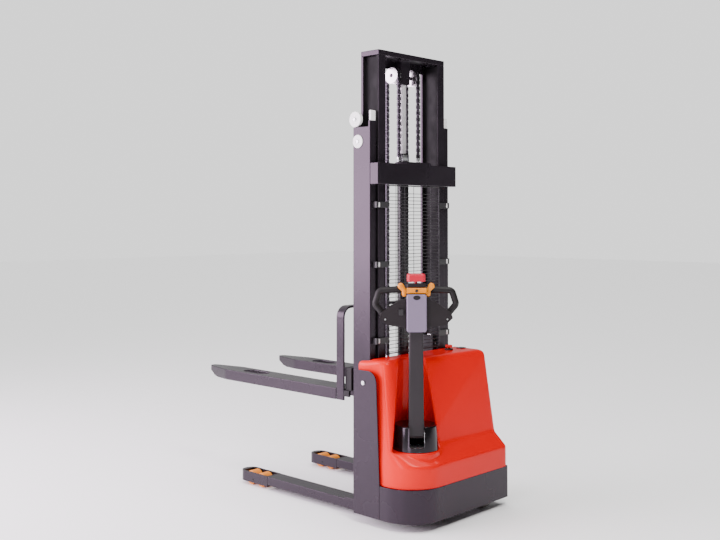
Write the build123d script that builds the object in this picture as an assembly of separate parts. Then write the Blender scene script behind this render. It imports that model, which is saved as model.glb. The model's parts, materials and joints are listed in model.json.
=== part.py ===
from build123d import *
import os

# Walk-behind pallet stacker, millimetres.
# X points the way the forks point, Y to the truck's left, Z up from the floor.
# The pieces are modelled from the rear face of the fixed mast (X = 0) and moved
# to the origin, the centre of the truck's box on the floor, when they are written.

os.makedirs("parts", exist_ok=True)

# ---- driving dimensions ----------------------------------------------------
body_width = 800.0            # over the side plates
fork_length = 1150.0
fork_span = 700.0             # over both forks
fork_width = 140.0
fork_top = 655.5              # height of the load face as stored
fork_depth = 59.5
mast_width = 652.0            # over the fixed mast
mast_depth = 122.0
mast_top = 2070.0
inner_top = 2448.0            # top of the lifting mast as stored
inner_bottom = 345.0
rear_reach = 360.0            # rear face of the body behind the mast
hood_top = 835.0
hood_bottom = 213.0
turret_x = -200.0             # steering axis
turret_y = 200.0
tiller_turn = -45.0           # the tiller is stored turned to the left rear
tiller_top = 1277.0

# ---- sections and walls ----------------------------------------------------
plate = 6.0
rail_web = 12.0
rail_flange = 14.0
rail_flange_width = 48.0
inner_depth = 130.0
inner_setback = 14.0          # the lifting mast stands out behind the fixed one
inner_flange = 18.0
inner_flange_width = 56.0
inner_web = 10.0
rail_gap = 4.0                # between the fixed and the lifting flanges
roller_play = 1.0             # mast roller inside its channel
fork_wall = 6.0
fork_skin = 8.0
hood_wall = 4.0
cover_gap = 2.0
touch_gap = 0.5

# ---- mast ------------------------------------------------------------------
mast_half = mast_width / 2
rail_bottom = 78.0            # the fixed mast stands on the support legs
rail_web_top = mast_top - 30.0
inner_outer_y = mast_half - rail_flange_width - rail_gap
inner_inner_y = inner_outer_y - inner_flange_width
inner_web_y = (inner_outer_y + inner_inner_y) / 2
inner_x0 = -inner_setback
inner_x1 = inner_x0 + inner_depth
inner_mid_x = (inner_x0 + inner_x1) / 2
outer_mid_x = mast_depth / 2
inner_roller_d = inner_depth - 2 * inner_flange - 2 * roller_play
outer_roller_d = mast_depth - 2 * rail_flange - 2 * roller_play
top_roller_z = 1963.0
stop_disc_d = 84.0
stop_disc_width = 20.0
stop_disc_z = rail_web_top + stop_disc_d / 2
inner_roller_rise = 24.0      # roller above the lifting rail's foot, clear of the leg when lowered
inner_roller_z = inner_bottom + outer_roller_d / 2 + inner_roller_rise
roller_axle_d = 30.0
roller_bore = roller_axle_d + 0.1
bridge_bottom = 1736.0
bridge_height = 113.0
bridge_reach = 56.0
bridge_clear = 8.0            # behind the lifting mast
low_tie_z = rail_bottom
low_tie_height = 110.0

# ---- lift cylinder, chains, crosshead --------------------------------------
cylinder_x = 58.0
barrel_d = 62.0
barrel_bore = 50.0
barrel_bottom = low_tie_z + 12.0
barrel_top = 1914.0
rod_d = 38.0
rod_depth = 300.0             # rod left inside the barrel as stored
pulley_d = 84.0
pulley_y = 80.0
pulley_z = 2335.0
pulley_width = 30.0
pulley_axle_d = 20.0
chain_width = 26.0
chain_thick = 12.0
beam_thick = 28.0
yoke_width = 70.0
anchor_top = 1890.0
anchor_rod_d = 14.0
anchor_plate = 12.0

# ---- carriage, forks, load backrest ----------------------------------------
heel_x = 226.0
backrest_depth = 54.0
backrest_bar = 12.0
backrest_half = 348.0
backrest_top = 1092.0
backrest_radius = 60.0
carriage_clear = 9.0          # between the lifting rails and the carriage block
carriage_x0 = inner_x1 + carriage_clear
carriage_block_z0 = 650.0
carriage_block_z1 = 770.0
carriage_plate_thick = 14.0
carriage_plate_y1 = inner_inner_y - rail_gap
carriage_plate_y0 = carriage_plate_y1 - carriage_plate_thick
carriage_plate_z0 = 585.0
carriage_plate_z1 = 905.0
carriage_roller_low = 632.0
carriage_roller_high = 862.0
carriage_anchor_top = 790.0
fork_taper_length = 212.0
fork_tip_depth = 22.0
fork_nose_length = 110.0      # over which the underside curves up to the tip
fork_tip_half = 26.0
fork_hole_x0 = 858.0
fork_hole_x1 = 1048.0
fork_hole_width = 88.0

# ---- support legs, load rollers --------------------------------------------
leg_y = (fork_span - fork_width) / 2
leg_width = 104.0
leg_bottom = 30.0
leg_top = 78.0
leg_wall = 6.0
toe_x0 = 800.0
toe_tip = 1056.0
toe_cheek = 11.0
toe_bottom = 20.0
load_roller_d = 80.0
load_roller_width = 62.0
load_roller_x = (879.0, 970.0)
load_axle_d = 16.0
load_axle_bore = load_axle_d + 0.1
bogie_plate = 4.0
bogie_pin_d = 14.0

# ---- drive unit and castor -------------------------------------------------
drive_wheel_d = 210.0
drive_wheel_width = 70.0
drive_hub_d = 120.0
drive_axle_d = 30.0
motor_d = 130.0
ring_d = motor_d + 60.0
floor_z = 224.0
floor_plate = 8.0
castor_x = -235.0
castor_y = -240.0
castor_trail = 38.0
castor_wheel_d = 150.0
castor_wheel_width = 50.0
castor_axle_d = 16.0
kingpin_d = 20.0

# ---- turret and tiller (modelled facing -X about the steering axis) --------
turret_bottom = 384.0
turret_top = 507.0
turret_low_r = 120.0
turret_taper = 11.0           # radius lost over the turret's height
turret_top_r = turret_low_r - turret_taper
turret_wall = 4.0
pivot_x = -45.0
pivot_z = 462.0
pivot_pin_d = 20.0
arm_width = 70.0
arm_foot_width = 78.0
arm_thick = 40.0
arm_top = 1040.0
ear_thick = 8.0
shield_width = 101.0
shield_bottom = 984.0
shield_top = 1174.0
shield_thick = 26.0
head_x = pivot_x - 8.0
grip_x = head_x + 29.0
grip_d = 28.0
grip_half = 222.0
wing_axis_z = 1192.0
wing_shaft_d = 14.0

# ---- hood ------------------------------------------------------------------
hood_half = 385.0
hood_front = -30.0
corner_left = 190.0
corner_right = 20.0
ledge_low_z = 322.0
ledge_high_z = 392.0
upper_low_x = 262.0           # how far the upper hood reaches back at the ledge
upper_top_x = 190.0           # and at its top
swell_start = 100.0           # right of this the rear face swells out to the right corner
apron_swell = 3.0
ledge_swell = 30.0
top_swell = 45.0
swell_radius = 220.0
upper_left_radius = 45.0
left_low_x = 205.0            # the upper hood ends further forward, left of the turret
left_top_x = 146.0
low_draft = 4.0               # each side of the upper hood leans in, foot to top
top_draft = 22.0
deck_opening_gap = 6.0
bulkhead_open_low = 300.0     # opening in the bulkhead for hoses and cables
bulkhead_open_high = 640.0
bulkhead_open_side = 70.0
hood_ear_gap = 6.0            # between mast and the hood's ears
hood_ear_wall = 4.0
hood_ear_front = 40.0
hood_ear_step = 12.0
stop_hole_d = 24.0
motor_room = 30.0
upper_right_radius = 28.0
niche_gap = 4.0               # between the turret and the niche it turns in
niche_foot = turret_bottom - cover_gap
niche_low_r = turret_low_r + niche_gap
niche_top_r = niche_low_r - turret_taper * (hood_top - niche_foot) / (turret_top - turret_bottom)
bulge_r = niche_low_r + 2.0
arm_clear = 6.0               # between the hood and the tiller arm swung down
steer_left_stop = -5.0        # how far the tiller turns on from where it is stored


def block(x0, x1, y0, y1, z0, z1):
    """A box given by its limits."""
    return Pos((x0 + x1) / 2, (y0 + y1) / 2, (z0 + z1) / 2) * Box(x1 - x0, y1 - y0, z1 - z0)


def rod_x(x0, x1, y, z, diameter):
    return Pos((x0 + x1) / 2, y, z) * Rot(0, 90, 0) * Cylinder(diameter / 2, x1 - x0)


def rod_y(x, y0, y1, z, diameter):
    return Pos(x, (y0 + y1) / 2, z) * Rot(90, 0, 0) * Cylinder(diameter / 2, abs(y1 - y0))


def rod_z(x, y, z0, z1, diameter):
    return Pos(x, y, (z0 + z1) / 2) * Cylinder(diameter / 2, z1 - z0)


def cone_z(x, y, z0, z1, low_r, high_r):
    return Pos(x, y, (z0 + z1) / 2) * Cone(low_r, high_r, z1 - z0)


def both_sides(shape):
    """The shape and its mirror image across the truck's centre plane, as a group."""
    return Compound([shape, mirror(shape, Plane.XZ)])


def right_of(shape):
    return mirror(shape, Plane.XZ)


pieces = {}


def keep(name, shape):
    pieces[name] = shape


def write_pieces():
    """Move every piece from the mast's face to the origin and write it."""
    box = Compound(list(pieces.values())).bounding_box()
    centre_x = round((box.min.X + box.max.X) / 2, 2)
    for name, shape in pieces.items():
        export_step(Pos(-centre_x, 0, 0) * shape, "parts/" + name + ".step")
    print(len(pieces), "nodes, mast face at X", -centre_x)


# ---- fixed mast ------------------------------------------------------------
def mast_rail():
    """One C channel of the fixed mast, open towards the truck's centre."""
    web = block(0, mast_depth, mast_half - rail_web, mast_half, rail_bottom, rail_web_top)
    rail = web
    for x0 in (0.0, mast_depth - rail_flange):
        top = mast_top if x0 == 0.0 else rail_web_top
        rail += block(x0, x0 + rail_flange, mast_half - rail_flange_width, mast_half, rail_bottom, top)
    stub_inner = inner_web_y + inner_web / 2 + roller_play
    rail += rod_y(inner_mid_x, stub_inner, mast_half - rail_web, top_roller_z, roller_axle_d)
    bracket_y = mast_half - rail_web - stop_disc_width / 2 + touch_gap
    rail += block(mast_depth - 40.0, mast_depth - rail_flange, bracket_y - rail_web, bracket_y,
                  rail_web_top - 40.0, stop_disc_z + 12.0)
    return rail


def bridge():
    """Upper cross-member: a box section behind the mast, with a foot on each rail."""
    back = -bridge_reach
    front = inner_x0 - bridge_clear
    top = bridge_bottom + bridge_height
    shape = block(back, front, -mast_half, mast_half, bridge_bottom, top)
    hollow = block(back + plate, front - plate, -mast_half + plate, mast_half - plate,
                   bridge_bottom + plate, top - plate)
    shape -= hollow
    for side in (-1, 1):
        y0 = side * (mast_half - rail_flange_width + rail_gap)
        y1 = side * mast_half
        shape += block(front, 0, min(y0, y1), max(y0, y1), bridge_bottom, top)
    shelf = block(back, cylinder_x - barrel_d / 2 - plate, -pulley_y - chain_width, pulley_y + chain_width,
                  top, top + anchor_plate)
    for side in (-1, 1):
        shelf -= rod_z(cylinder_x - pulley_d / 2, side * pulley_y, top, top + anchor_plate, anchor_rod_d)
    return shape + shelf


def low_tie():
    """Lower cross-member with the shelf that carries the lift cylinder."""
    back = -bridge_reach
    front = inner_x0 - bridge_clear
    top = low_tie_z + low_tie_height
    shape = block(back, front, -mast_half, mast_half, low_tie_z, top)
    shape -= block(back + plate, front - plate, -mast_half + plate, mast_half - plate,
                   low_tie_z + plate, top - plate)
    for side in (-1, 1):
        y0 = side * (mast_half - rail_flange_width + rail_gap)
        y1 = side * mast_half
        shape += block(front, 0, min(y0, y1), max(y0, y1), rail_bottom, top)
    shape += block(front, cylinder_x + barrel_d / 2, -barrel_d, barrel_d, low_tie_z, barrel_bottom)
    return shape


guard_half = inner_inner_y + 6.0
guard_bottom = hood_top + 8.0
guard_thick = 4.0
guard_x1 = inner_x0 - 4.0
guard_x0 = guard_x1 - guard_thick
guard_frame = 14.0
guard_bars = 12
guard_columns = 3
clip_heights = (920.0, 1317.0, 1630.0)


def mast_guard():
    """Flat guard between operator and mast: an edge frame with bars across its openings."""
    shape = block(guard_x0, guard_x1, -guard_half, guard_half, guard_bottom, bridge_bottom)
    inner_height = bridge_bottom - guard_bottom - 2 * guard_frame
    inner_width = 2 * guard_half - 2 * guard_frame
    bar = 4.0
    cell_height = (inner_height - (guard_bars - 1) * bar) / guard_bars
    cell_width = (inner_width - (guard_columns - 1) * bar) / guard_columns
    for row in range(guard_bars):
        for column in range(guard_columns):
            z0 = guard_bottom + guard_frame + row * (cell_height + bar)
            y0 = -guard_half + guard_frame + column * (cell_width + bar)
            shape -= block(guard_x0, guard_x1, y0, y0 + cell_width, z0, z0 + cell_height)
    return shape


def guard_clips():
    """Zinc strap at each fixing height, from the rail's rear flange to the guard."""
    straps = []
    strap = 3.0
    for z in clip_heights:
        y_out = mast_half - 22.0
        back = block(guard_x0 - strap, guard_x0, guard_half - guard_frame, y_out, z - 16, z + 16)
        foot = block(guard_x0 - strap, 0, y_out - strap, y_out, z - 16, z + 16)
        tab = block(-strap, 0, y_out - 14, y_out, z - 16, z + 16)
        strap_shape = back + foot + tab
        straps.append(strap_shape)
        straps.append(right_of(strap_shape))
    return Compound(straps)


def nylon_stops():
    """White nylon: stop disc at the rail's top front, pad on its rear flange, cap on its web."""
    y0 = mast_half - rail_web - stop_disc_width / 2 + touch_gap
    disc = rod_y(mast_depth - 10.0, y0, y0 + stop_disc_width, stop_disc_z, stop_disc_d)
    pad_y = mast_half - rail_web / 2
    pad = block(0, rail_flange, pad_y - 38.0, pad_y, mast_top, mast_top + 55.0)
    cap = rod_y(87.0, mast_half, mast_half + 5.0, top_roller_z, 70.0)
    pieces = []
    for piece in (disc, pad, cap):
        pieces.append(piece)
        pieces.append(right_of(piece))
    return Compound(pieces)


# ---- lifting mast ----------------------------------------------------------
def inner_rail():
    """One I section of the lifting mast with the stub axle of its lower roller."""
    web = block(inner_x0, inner_x1, inner_web_y - inner_web / 2, inner_web_y + inner_web / 2,
                inner_bottom, inner_top - beam_thick)
    rail = web
    for x0 in (inner_x0, inner_x1 - inner_flange):
        rail += block(x0, x0 + inner_flange, inner_inner_y, inner_outer_y, inner_bottom,
                      inner_top - beam_thick)
    rail += rod_y(outer_mid_x, inner_web_y, mast_half - rail_web - 2.0, inner_roller_z, roller_axle_d)
    return rail


def top_beam():
    """Head plate across both lifting rails, with a stiffener hanging at the front."""
    shape = block(inner_x0, inner_x1, -inner_outer_y, inner_outer_y, inner_top - beam_thick, inner_top)
    y1 = inner_inner_y - 1.0
    shape += block(inner_x1 - 26.0, inner_x1 - 12.0, -y1, y1, inner_top - beam_thick - 44.0,
                   inner_top - beam_thick)
    return shape


def inner_tie():
    z0 = inner_bottom + 42.0
    return block(inner_x0, inner_x0 + 12.0, -inner_inner_y, inner_inner_y, z0, z0 + 80.0)


def yoke():
    """Crosshead between rod and head plate, with the pulley axles."""
    half = yoke_width / 2
    body = block(cylinder_x - 22.0, cylinder_x + 22.0, -half, half, pulley_z - 44.0,
                 inner_top - beam_thick)
    socket = rod_z(cylinder_x, 0, pulley_z - 44.0, pulley_z - 10.0, rod_d)
    axle = rod_y(cylinder_x, -pulley_y - pulley_width / 2 - 4.0, pulley_y + pulley_width / 2 + 4.0,
                 pulley_z, pulley_axle_d)
    return body - socket + axle


def chain_pulley():
    """Grooved pulley with two rims that keep the chain on."""
    groove_d = pulley_d - chain_thick
    y0 = pulley_y - pulley_width / 2
    y1 = pulley_y + pulley_width / 2
    rim = (pulley_width - chain_width) / 2 - touch_gap
    shape = rod_y(cylinder_x, y0, y1, pulley_z, groove_d - 2 * touch_gap)
    shape += rod_y(cylinder_x, y0, y0 + rim, pulley_z, pulley_d + 6.0)
    shape += rod_y(cylinder_x, y1 - rim, y1, pulley_z, pulley_d + 6.0)
    shape -= rod_y(cylinder_x, y0, y1, pulley_z, pulley_axle_d + 0.1)
    return shape


def chain_strand(x, z0, z1):
    strand = block(x - chain_thick / 2, x + chain_thick / 2, pulley_y - chain_width / 2,
                   pulley_y + chain_width / 2, z0, z1)
    return both_sides(strand)


def chain_wrap():
    """The half turn of chain over each pulley."""
    outer = rod_y(cylinder_x, pulley_y - chain_width / 2, pulley_y + chain_width / 2, pulley_z,
                  pulley_d + chain_thick)
    inner = rod_y(cylinder_x, pulley_y - chain_width / 2, pulley_y + chain_width / 2, pulley_z,
                  pulley_d - chain_thick)
    ring = outer - inner
    ring -= block(cylinder_x - pulley_d, cylinder_x + pulley_d, 0, pulley_y * 2,
                  pulley_z - pulley_d, pulley_z)
    return both_sides(ring)


def mast_anchors():
    """Threaded chain anchors with nuts on the upper cross-member."""
    top = bridge_bottom + bridge_height + anchor_plate
    x = cylinder_x - pulley_d / 2
    rod = rod_z(x, pulley_y, top - anchor_plate - 14.0, anchor_top, anchor_rod_d)
    rod += rod_z(x, pulley_y, top, top + 10.0, anchor_rod_d + 10.0)
    rod += rod_z(x, pulley_y, top - anchor_plate - 12.0, top - anchor_plate, anchor_rod_d + 4.0)
    rod += block(x - 5.0, x + 5.0, pulley_y - 11.0, pulley_y + 11.0, anchor_top - 14.0, anchor_top)
    return both_sides(rod)


def channel_roller(x, y0, y1, z, diameter):
    return rod_y(x, y0, y1, z, diameter) - rod_y(x, y0, y1, z, roller_bore)


def lift_barrel():
    shape = rod_z(cylinder_x, 0, barrel_bottom, barrel_top, barrel_d)
    shape -= rod_z(cylinder_x, 0, barrel_bottom + 20.0, barrel_top - 30.0, barrel_bore)
    shape -= rod_z(cylinder_x, 0, barrel_top - 30.0, barrel_top, rod_d + 0.2)
    return shape


def lift_rod():
    bottom = barrel_top - rod_depth
    shape = rod_z(cylinder_x, 0, bottom, pulley_z - 10.0, rod_d)
    return shape + rod_z(cylinder_x, 0, bottom, bottom + 24.0, barrel_bore - 0.2)


# ---- carriage --------------------------------------------------------------
def carriage_frame():
    """Side plates with roller stubs, the cross block in front and the chain lugs."""
    block_x1 = heel_x - backrest_depth
    side_y = backrest_half - backrest_bar
    shape = block(carriage_x0, block_x1, -side_y, side_y, carriage_block_z0, carriage_block_z1)
    shape -= block(carriage_x0 + 8.0, block_x1 - 8.0, -side_y + 8.0, side_y - 8.0,
                   carriage_block_z0 + 8.0, carriage_block_z1 - 8.0)
    for side in (-1, 1):
        y0, y1 = sorted((side * carriage_plate_y0, side * carriage_plate_y1))
        shape += block(inner_x0 + inner_flange + 6.0, carriage_x0, y0, y1, carriage_plate_z0,
                       carriage_plate_z1)
        stub0, stub1 = sorted((side * carriage_plate_y1, side * (inner_web_y - inner_web / 2 - 2.0)))
        for z in (carriage_roller_low, carriage_roller_high):
            shape += rod_y(inner_mid_x, stub0, stub1, z, roller_axle_d)
        x = cylinder_x + pulley_d / 2
        lug = block(x - 10.0, carriage_x0 + 20.0, side * pulley_y - 16.0, side * pulley_y + 16.0,
                    carriage_block_z1, carriage_block_z1 + 12.0)
        lug -= rod_z(x, side * pulley_y, carriage_block_z1, carriage_block_z1 + 12.0, anchor_rod_d)
        shape += lug
        y0, y1 = sorted((side * (side_y - 2.0), side * backrest_half))
        shape += block(carriage_x0 + 6.0, block_x1, y0, y1, carriage_block_z0 - 32.0, carriage_block_z0)
    return shape


def carriage_anchors():
    x = cylinder_x + pulley_d / 2
    z = carriage_block_z1
    rod = rod_z(x, pulley_y, z - 16.0, carriage_anchor_top + 22.0, anchor_rod_d)
    rod += rod_z(x, pulley_y, z - 12.0, z, anchor_rod_d + 10.0)
    rod += block(x - 5.0, x + 5.0, pulley_y - 11.0, pulley_y + 11.0, carriage_anchor_top + 10.0,
                 carriage_anchor_top + 24.0)
    return both_sides(rod)


def load_backrest():
    """Inverted U of flat bar that the load leans on."""
    z0 = fork_top - fork_depth
    height = backrest_top - z0
    centre_z = (backrest_top + z0) / 2
    outer = Rectangle(2 * backrest_half, height)
    outer = fillet(outer.vertices().group_by(Axis.Y)[-1], backrest_radius)
    inner = Pos(0, -backrest_bar) * Rectangle(2 * (backrest_half - backrest_bar), height)
    inner = fillet(inner.vertices().group_by(Axis.Y)[-1], backrest_radius - backrest_bar)
    profile = outer - inner
    plane = Plane(origin=(heel_x - backrest_depth, 0, centre_z), x_dir=(0, 1, 0), z_dir=(1, 0, 0))
    return extrude(plane * profile, backrest_depth)


def fork_plan(inset):
    """Plan outline of one fork from the heel to its rounded tip, drawn in by inset."""
    half = fork_width / 2 - inset
    tip_x = heel_x + fork_length - inset
    shoulder_x = heel_x + fork_length - fork_taper_length
    heel = heel_x
    tip_half = fork_tip_half
    line = Polyline((heel, -half), (shoulder_x, -half), (tip_x - 18.0, -tip_half), (tip_x, -tip_half * 0.5),
                    (tip_x, tip_half * 0.5), (tip_x - 18.0, tip_half), (shoulder_x, half), (heel, half),
                    close=True)
    face = make_face(line)
    shoulders = [v for v in face.vertices() if abs(v.X - shoulder_x) < 1.0]
    face = fillet(shoulders, 160.0)
    noses = [v for v in face.vertices() if abs(v.X - tip_x) < 1.0]
    face = fillet(noses, 9.0)
    noses = [v for v in face.vertices() if abs(v.X - (tip_x - 18.0)) < 1.0]
    return fillet(noses, 9.0)


def fork():
    """Formed fork: an inverted channel that passes over the support leg."""
    bottom = fork_top - fork_depth
    tip_x = heel_x + fork_length
    solid = extrude(Pos(0, leg_y, bottom) * fork_plan(0.0), fork_depth)
    cavity = extrude(Pos(0, leg_y, bottom) * fork_plan(fork_wall), fork_depth - fork_skin)
    cavity = cavity & block(heel_x, tip_x - 60.0, 0, fork_span, bottom, fork_top)
    shape = solid - cavity
    rise = fork_depth - fork_tip_depth
    profile = Polyline((tip_x - fork_nose_length, bottom),
                       (tip_x - 0.5 * fork_nose_length, bottom + 0.3 * rise),
                       (tip_x - 0.15 * fork_nose_length, bottom + 0.75 * rise), (tip_x, bottom + rise),
                       (tip_x, bottom), close=True)
    wedge = extrude(Plane.XZ * make_face(profile), fork_span, both=True)
    shape -= wedge
    hole_length = fork_hole_x1 - fork_hole_x0
    hole = SlotOverall(hole_length, fork_hole_width)
    centre = Pos((fork_hole_x0 + fork_hole_x1) / 2, leg_y, fork_top - fork_skin)
    shape -= extrude(centre * hole, fork_skin)
    tongue_outer = backrest_half - backrest_bar
    tongue_inner = leg_y - fork_width / 2
    back = heel_x - backrest_depth
    shape += block(back, heel_x, tongue_inner, tongue_outer, fork_top - fork_skin, fork_top)
    shape += block(back, heel_x, tongue_inner, tongue_inner + fork_wall, bottom, fork_top)
    return shape


# ---- support legs ----------------------------------------------------------
def leg():
    """Support leg: an inverted channel, narrower where it passes under the fixed mast."""
    y0 = leg_y - leg_width / 2
    y1 = leg_y + leg_width / 2
    front_x = mast_depth + 3.0
    shape = block(front_x, toe_x0, y0, y1, leg_bottom, leg_top)
    shape -= block(front_x + leg_wall, toe_x0 - leg_wall, y0 + leg_wall, y1 - leg_wall, leg_bottom,
                   leg_top - leg_wall)
    narrow_y0 = mast_half - rail_flange_width
    shape += block(hood_front, front_x, narrow_y0, y1, leg_bottom, leg_top)
    return shape


def toe():
    """Roller carrier at the leg's end: two cheeks joined by a round nose."""
    half = leg_width / 2
    straight = toe_tip - half
    outline = block(toe_x0, straight, leg_y - half, leg_y + half, toe_bottom, leg_top)
    outline += rod_z(straight, leg_y, toe_bottom, leg_top, leg_width)
    slot_half = half - toe_cheek
    slot_x0 = toe_x0 + 12.0
    slot_x1 = max(load_roller_x) + load_roller_d / 2 + 12.0
    outline -= block(slot_x0, slot_x1, leg_y - slot_half, leg_y + slot_half, toe_bottom, leg_top)
    mid = sum(load_roller_x) / 2
    z = load_roller_d / 2
    outline -= rod_y(mid, leg_y - half, leg_y + half, z, bogie_pin_d + 0.2)
    return outline


def bogie():
    """Rocker: two side plates with the roller axles and pivot stubs, free to tip about its middle."""
    z = load_roller_d / 2
    mid = sum(load_roller_x) / 2
    inner_y = load_roller_width / 2 + 2.0
    outer_y = inner_y + bogie_plate
    shape = None
    for side in (-1, 1):
        y0, y1 = sorted((leg_y + side * inner_y, leg_y + side * outer_y))
        cheek = block(load_roller_x[0], load_roller_x[1], y0, y1, z - 14.0, z + 14.0)
        for x in load_roller_x:
            cheek += rod_y(x, y0, y1, z, 28.0)
        stub0, stub1 = sorted((leg_y + side * inner_y, leg_y + side * leg_width / 2))
        cheek += rod_y(mid, stub0, stub1, z, bogie_pin_d)
        shape = cheek if shape is None else shape + cheek
    for x in load_roller_x:
        shape += rod_y(x, leg_y - outer_y, leg_y + outer_y, z, load_axle_d)
    return shape


def load_roller(x):
    z = load_roller_d / 2
    y0 = leg_y - load_roller_width / 2
    y1 = leg_y + load_roller_width / 2
    wheel = rod_y(x, y0, y1, z, load_roller_d)
    rims = [e for e in wheel.edges() if e.geom_type == GeomType.CIRCLE]
    wheel = chamfer(rims, 3.0)
    return wheel - rod_y(x, y0, y1, z, load_axle_bore)


# ---- chassis ---------------------------------------------------------------
side_front = 48.0
side_rear_top = 107.0
side_rear_low = 131.0
side_top = 782.0
side_corner = 60.0
side_bottom = 45.0
side_half = body_width / 2
bolt_x = -22.0
bolt_z = 718.0
bolt_d = 10.0
ear_bottom = side_top - 82.0


def side_plate():
    """Flat cheek of the chassis beside the mast foot."""
    profile = Polyline((side_front, side_bottom), (side_front, side_top), (-side_rear_top, side_top),
                       (-side_rear_low, hood_bottom), (-side_rear_low, side_bottom), close=True)
    face = make_face(profile)
    corner = [v for v in face.vertices() if abs(v.X + side_rear_top) < 1.0]
    face = fillet(corner, side_corner)
    cheek = extrude(Plane.XZ.offset(-side_half) * face, plate)
    return cheek - rod_y(bolt_x, side_half - plate, side_half, bolt_z, bolt_d + 0.4)


def side_bolts():
    bolt = rod_y(bolt_x, hood_half - 14.0, side_half, bolt_z, bolt_d)
    bolt += rod_y(bolt_x, side_half, side_half + 6.0, bolt_z, 22.0)
    return both_sides(bolt)


def plan_outline(half, rear, left_radius, right_radius, front=hood_front, swell=0.0, left_x=None):
    """Plan of the rear body: square at the front, large corner at the left rear."""
    corners = [(front, half), (-rear, half), (-rear - swell, -half), (front, -half)]
    if swell:
        corners.insert(2, (-rear, -swell_start))
    if left_x:
        corners[1:2] = [(-left_x, half), (-left_x, turret_y), (-rear, turret_y)]
    face = make_face(Polyline(*corners, close=True))
    left = [v for v in face.vertices() if v.X < front - 1 and v.Y > half - 1]
    face = fillet(left, left_radius)
    if swell:
        bend = [v for v in face.vertices() if abs(v.X + rear) < 0.1 and abs(v.Y + swell_start) < 0.1]
        face = fillet(bend, swell_radius)
    right = [v for v in face.vertices() if v.X < front - 1 and v.Y < 0 and abs(v.Y + half) < 1]
    return fillet(right, right_radius)


def chassis_frame():
    """Floor, bulkhead and outriggers that tie mast, legs and side plates together."""
    inner = side_half - plate
    inset = hood_wall + cover_gap
    deck_plan = plan_outline(hood_half - inset, rear_reach - apron_swell - inset, corner_left - inset,
                             corner_right - inset)
    deck = extrude(Pos(0, 0, floor_z) * deck_plan, -floor_plate)
    deck -= rod_z(turret_x, turret_y, floor_z - floor_plate, floor_z, ring_d + deck_opening_gap)
    deck -= rod_z(castor_x, castor_y, floor_z - floor_plate, floor_z, kingpin_d + 0.2)
    wall = block(hood_front, hood_front + plate, -inner, inner, floor_z - floor_plate,
                 ear_bottom - cover_gap)
    open_half = mast_half - bulkhead_open_side
    wall -= block(hood_front, hood_front + plate, -open_half, open_half, bulkhead_open_low,
                  bulkhead_open_high)
    shape = deck + wall
    for side in (-1, 1):
        y0, y1 = sorted((side * mast_half, side * inner))
        shape += block(hood_front, mast_depth, y0, y1, leg_top + 22.0, leg_top + 34.0)
        shape += block(hood_front, hood_front + plate, y0, y1, leg_top, floor_z)
        y0, y1 = sorted((side * mast_half, side * (mast_half + plate)))
        shape += block(hood_front + plate, mast_depth - 30.0, y0, y1, leg_top, 420.0)
    return shape


def skirt():
    """Bent steel skirt round the rear of the chassis, below the hood."""
    front = -side_rear_low
    outer = extrude(Pos(0, 0, side_bottom) * plan_outline(side_half - 1.0, rear_reach, corner_left,
                                                         corner_right, front), hood_bottom - side_bottom)
    inner = extrude(Pos(0, 0, side_bottom) * plan_outline(side_half - 1.0 - plate, rear_reach - plate,
                                                         corner_left - plate, corner_right - plate,
                                                         front), hood_bottom - side_bottom)
    return outer - inner


def hood_body(inset, low_z):
    """Outer form of the hood, drawn in by inset and starting at low_z."""
    half = hood_half - inset
    radius_l = corner_left - inset
    radius_r = corner_right - inset
    top_l = upper_left_radius - inset
    top_r = upper_right_radius - inset
    front = hood_front + inset
    low = plan_outline(half, rear_reach - apron_swell - inset, radius_l, radius_r, front, apron_swell)
    ledge_z = ledge_low_z - inset
    shape = extrude(Pos(0, 0, low_z) * low, ledge_z - low_z)
    mid = plan_outline(half - low_draft, upper_low_x - inset, top_l, top_r, front, ledge_swell)
    shape += loft([Pos(0, 0, ledge_z) * low, Pos(0, 0, ledge_high_z - inset) * mid], ruled=True)
    slope = [(apron_swell + inset - rear_reach, ledge_z), (inset - left_low_x, ledge_high_z - inset),
             (-rear_reach - 10.0, ledge_high_z - inset), (-rear_reach - 10.0, ledge_z)]
    slope_face = Plane.XZ * make_face(Polyline(*slope, close=True))
    shape -= Pos(0, turret_y - inset, 0) * extrude(slope_face, -hood_half)
    mid = plan_outline(half - low_draft, upper_low_x - inset, top_l, top_r, front, ledge_swell,
                       left_low_x - inset)
    top = plan_outline(half - top_draft, upper_top_x - inset, top_l, top_r, front, top_swell,
                       left_top_x - inset)
    shape += loft([Pos(0, 0, ledge_high_z - inset) * mid, Pos(0, 0, hood_top - inset) * top], ruled=True)
    ring_top = niche_foot - inset
    shape -= cone_z(turret_x, turret_y, ring_top, hood_top, niche_low_r + inset, niche_top_r + inset)
    mouth = [Pos(-side_half / 2, 0, z) * Rectangle(side_half, 2 * (radius + inset))
             for z, radius in ((ring_top, niche_low_r), (hood_top, niche_top_r))]
    shape -= Pos(turret_x, turret_y) * Rot(0, 0, tiller_turn) * loft(mouth, ruled=True)
    bulge = rod_z(turret_x, turret_y, low_z, ring_top, 2 * (bulge_r - inset))
    return shape + bulge


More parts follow.
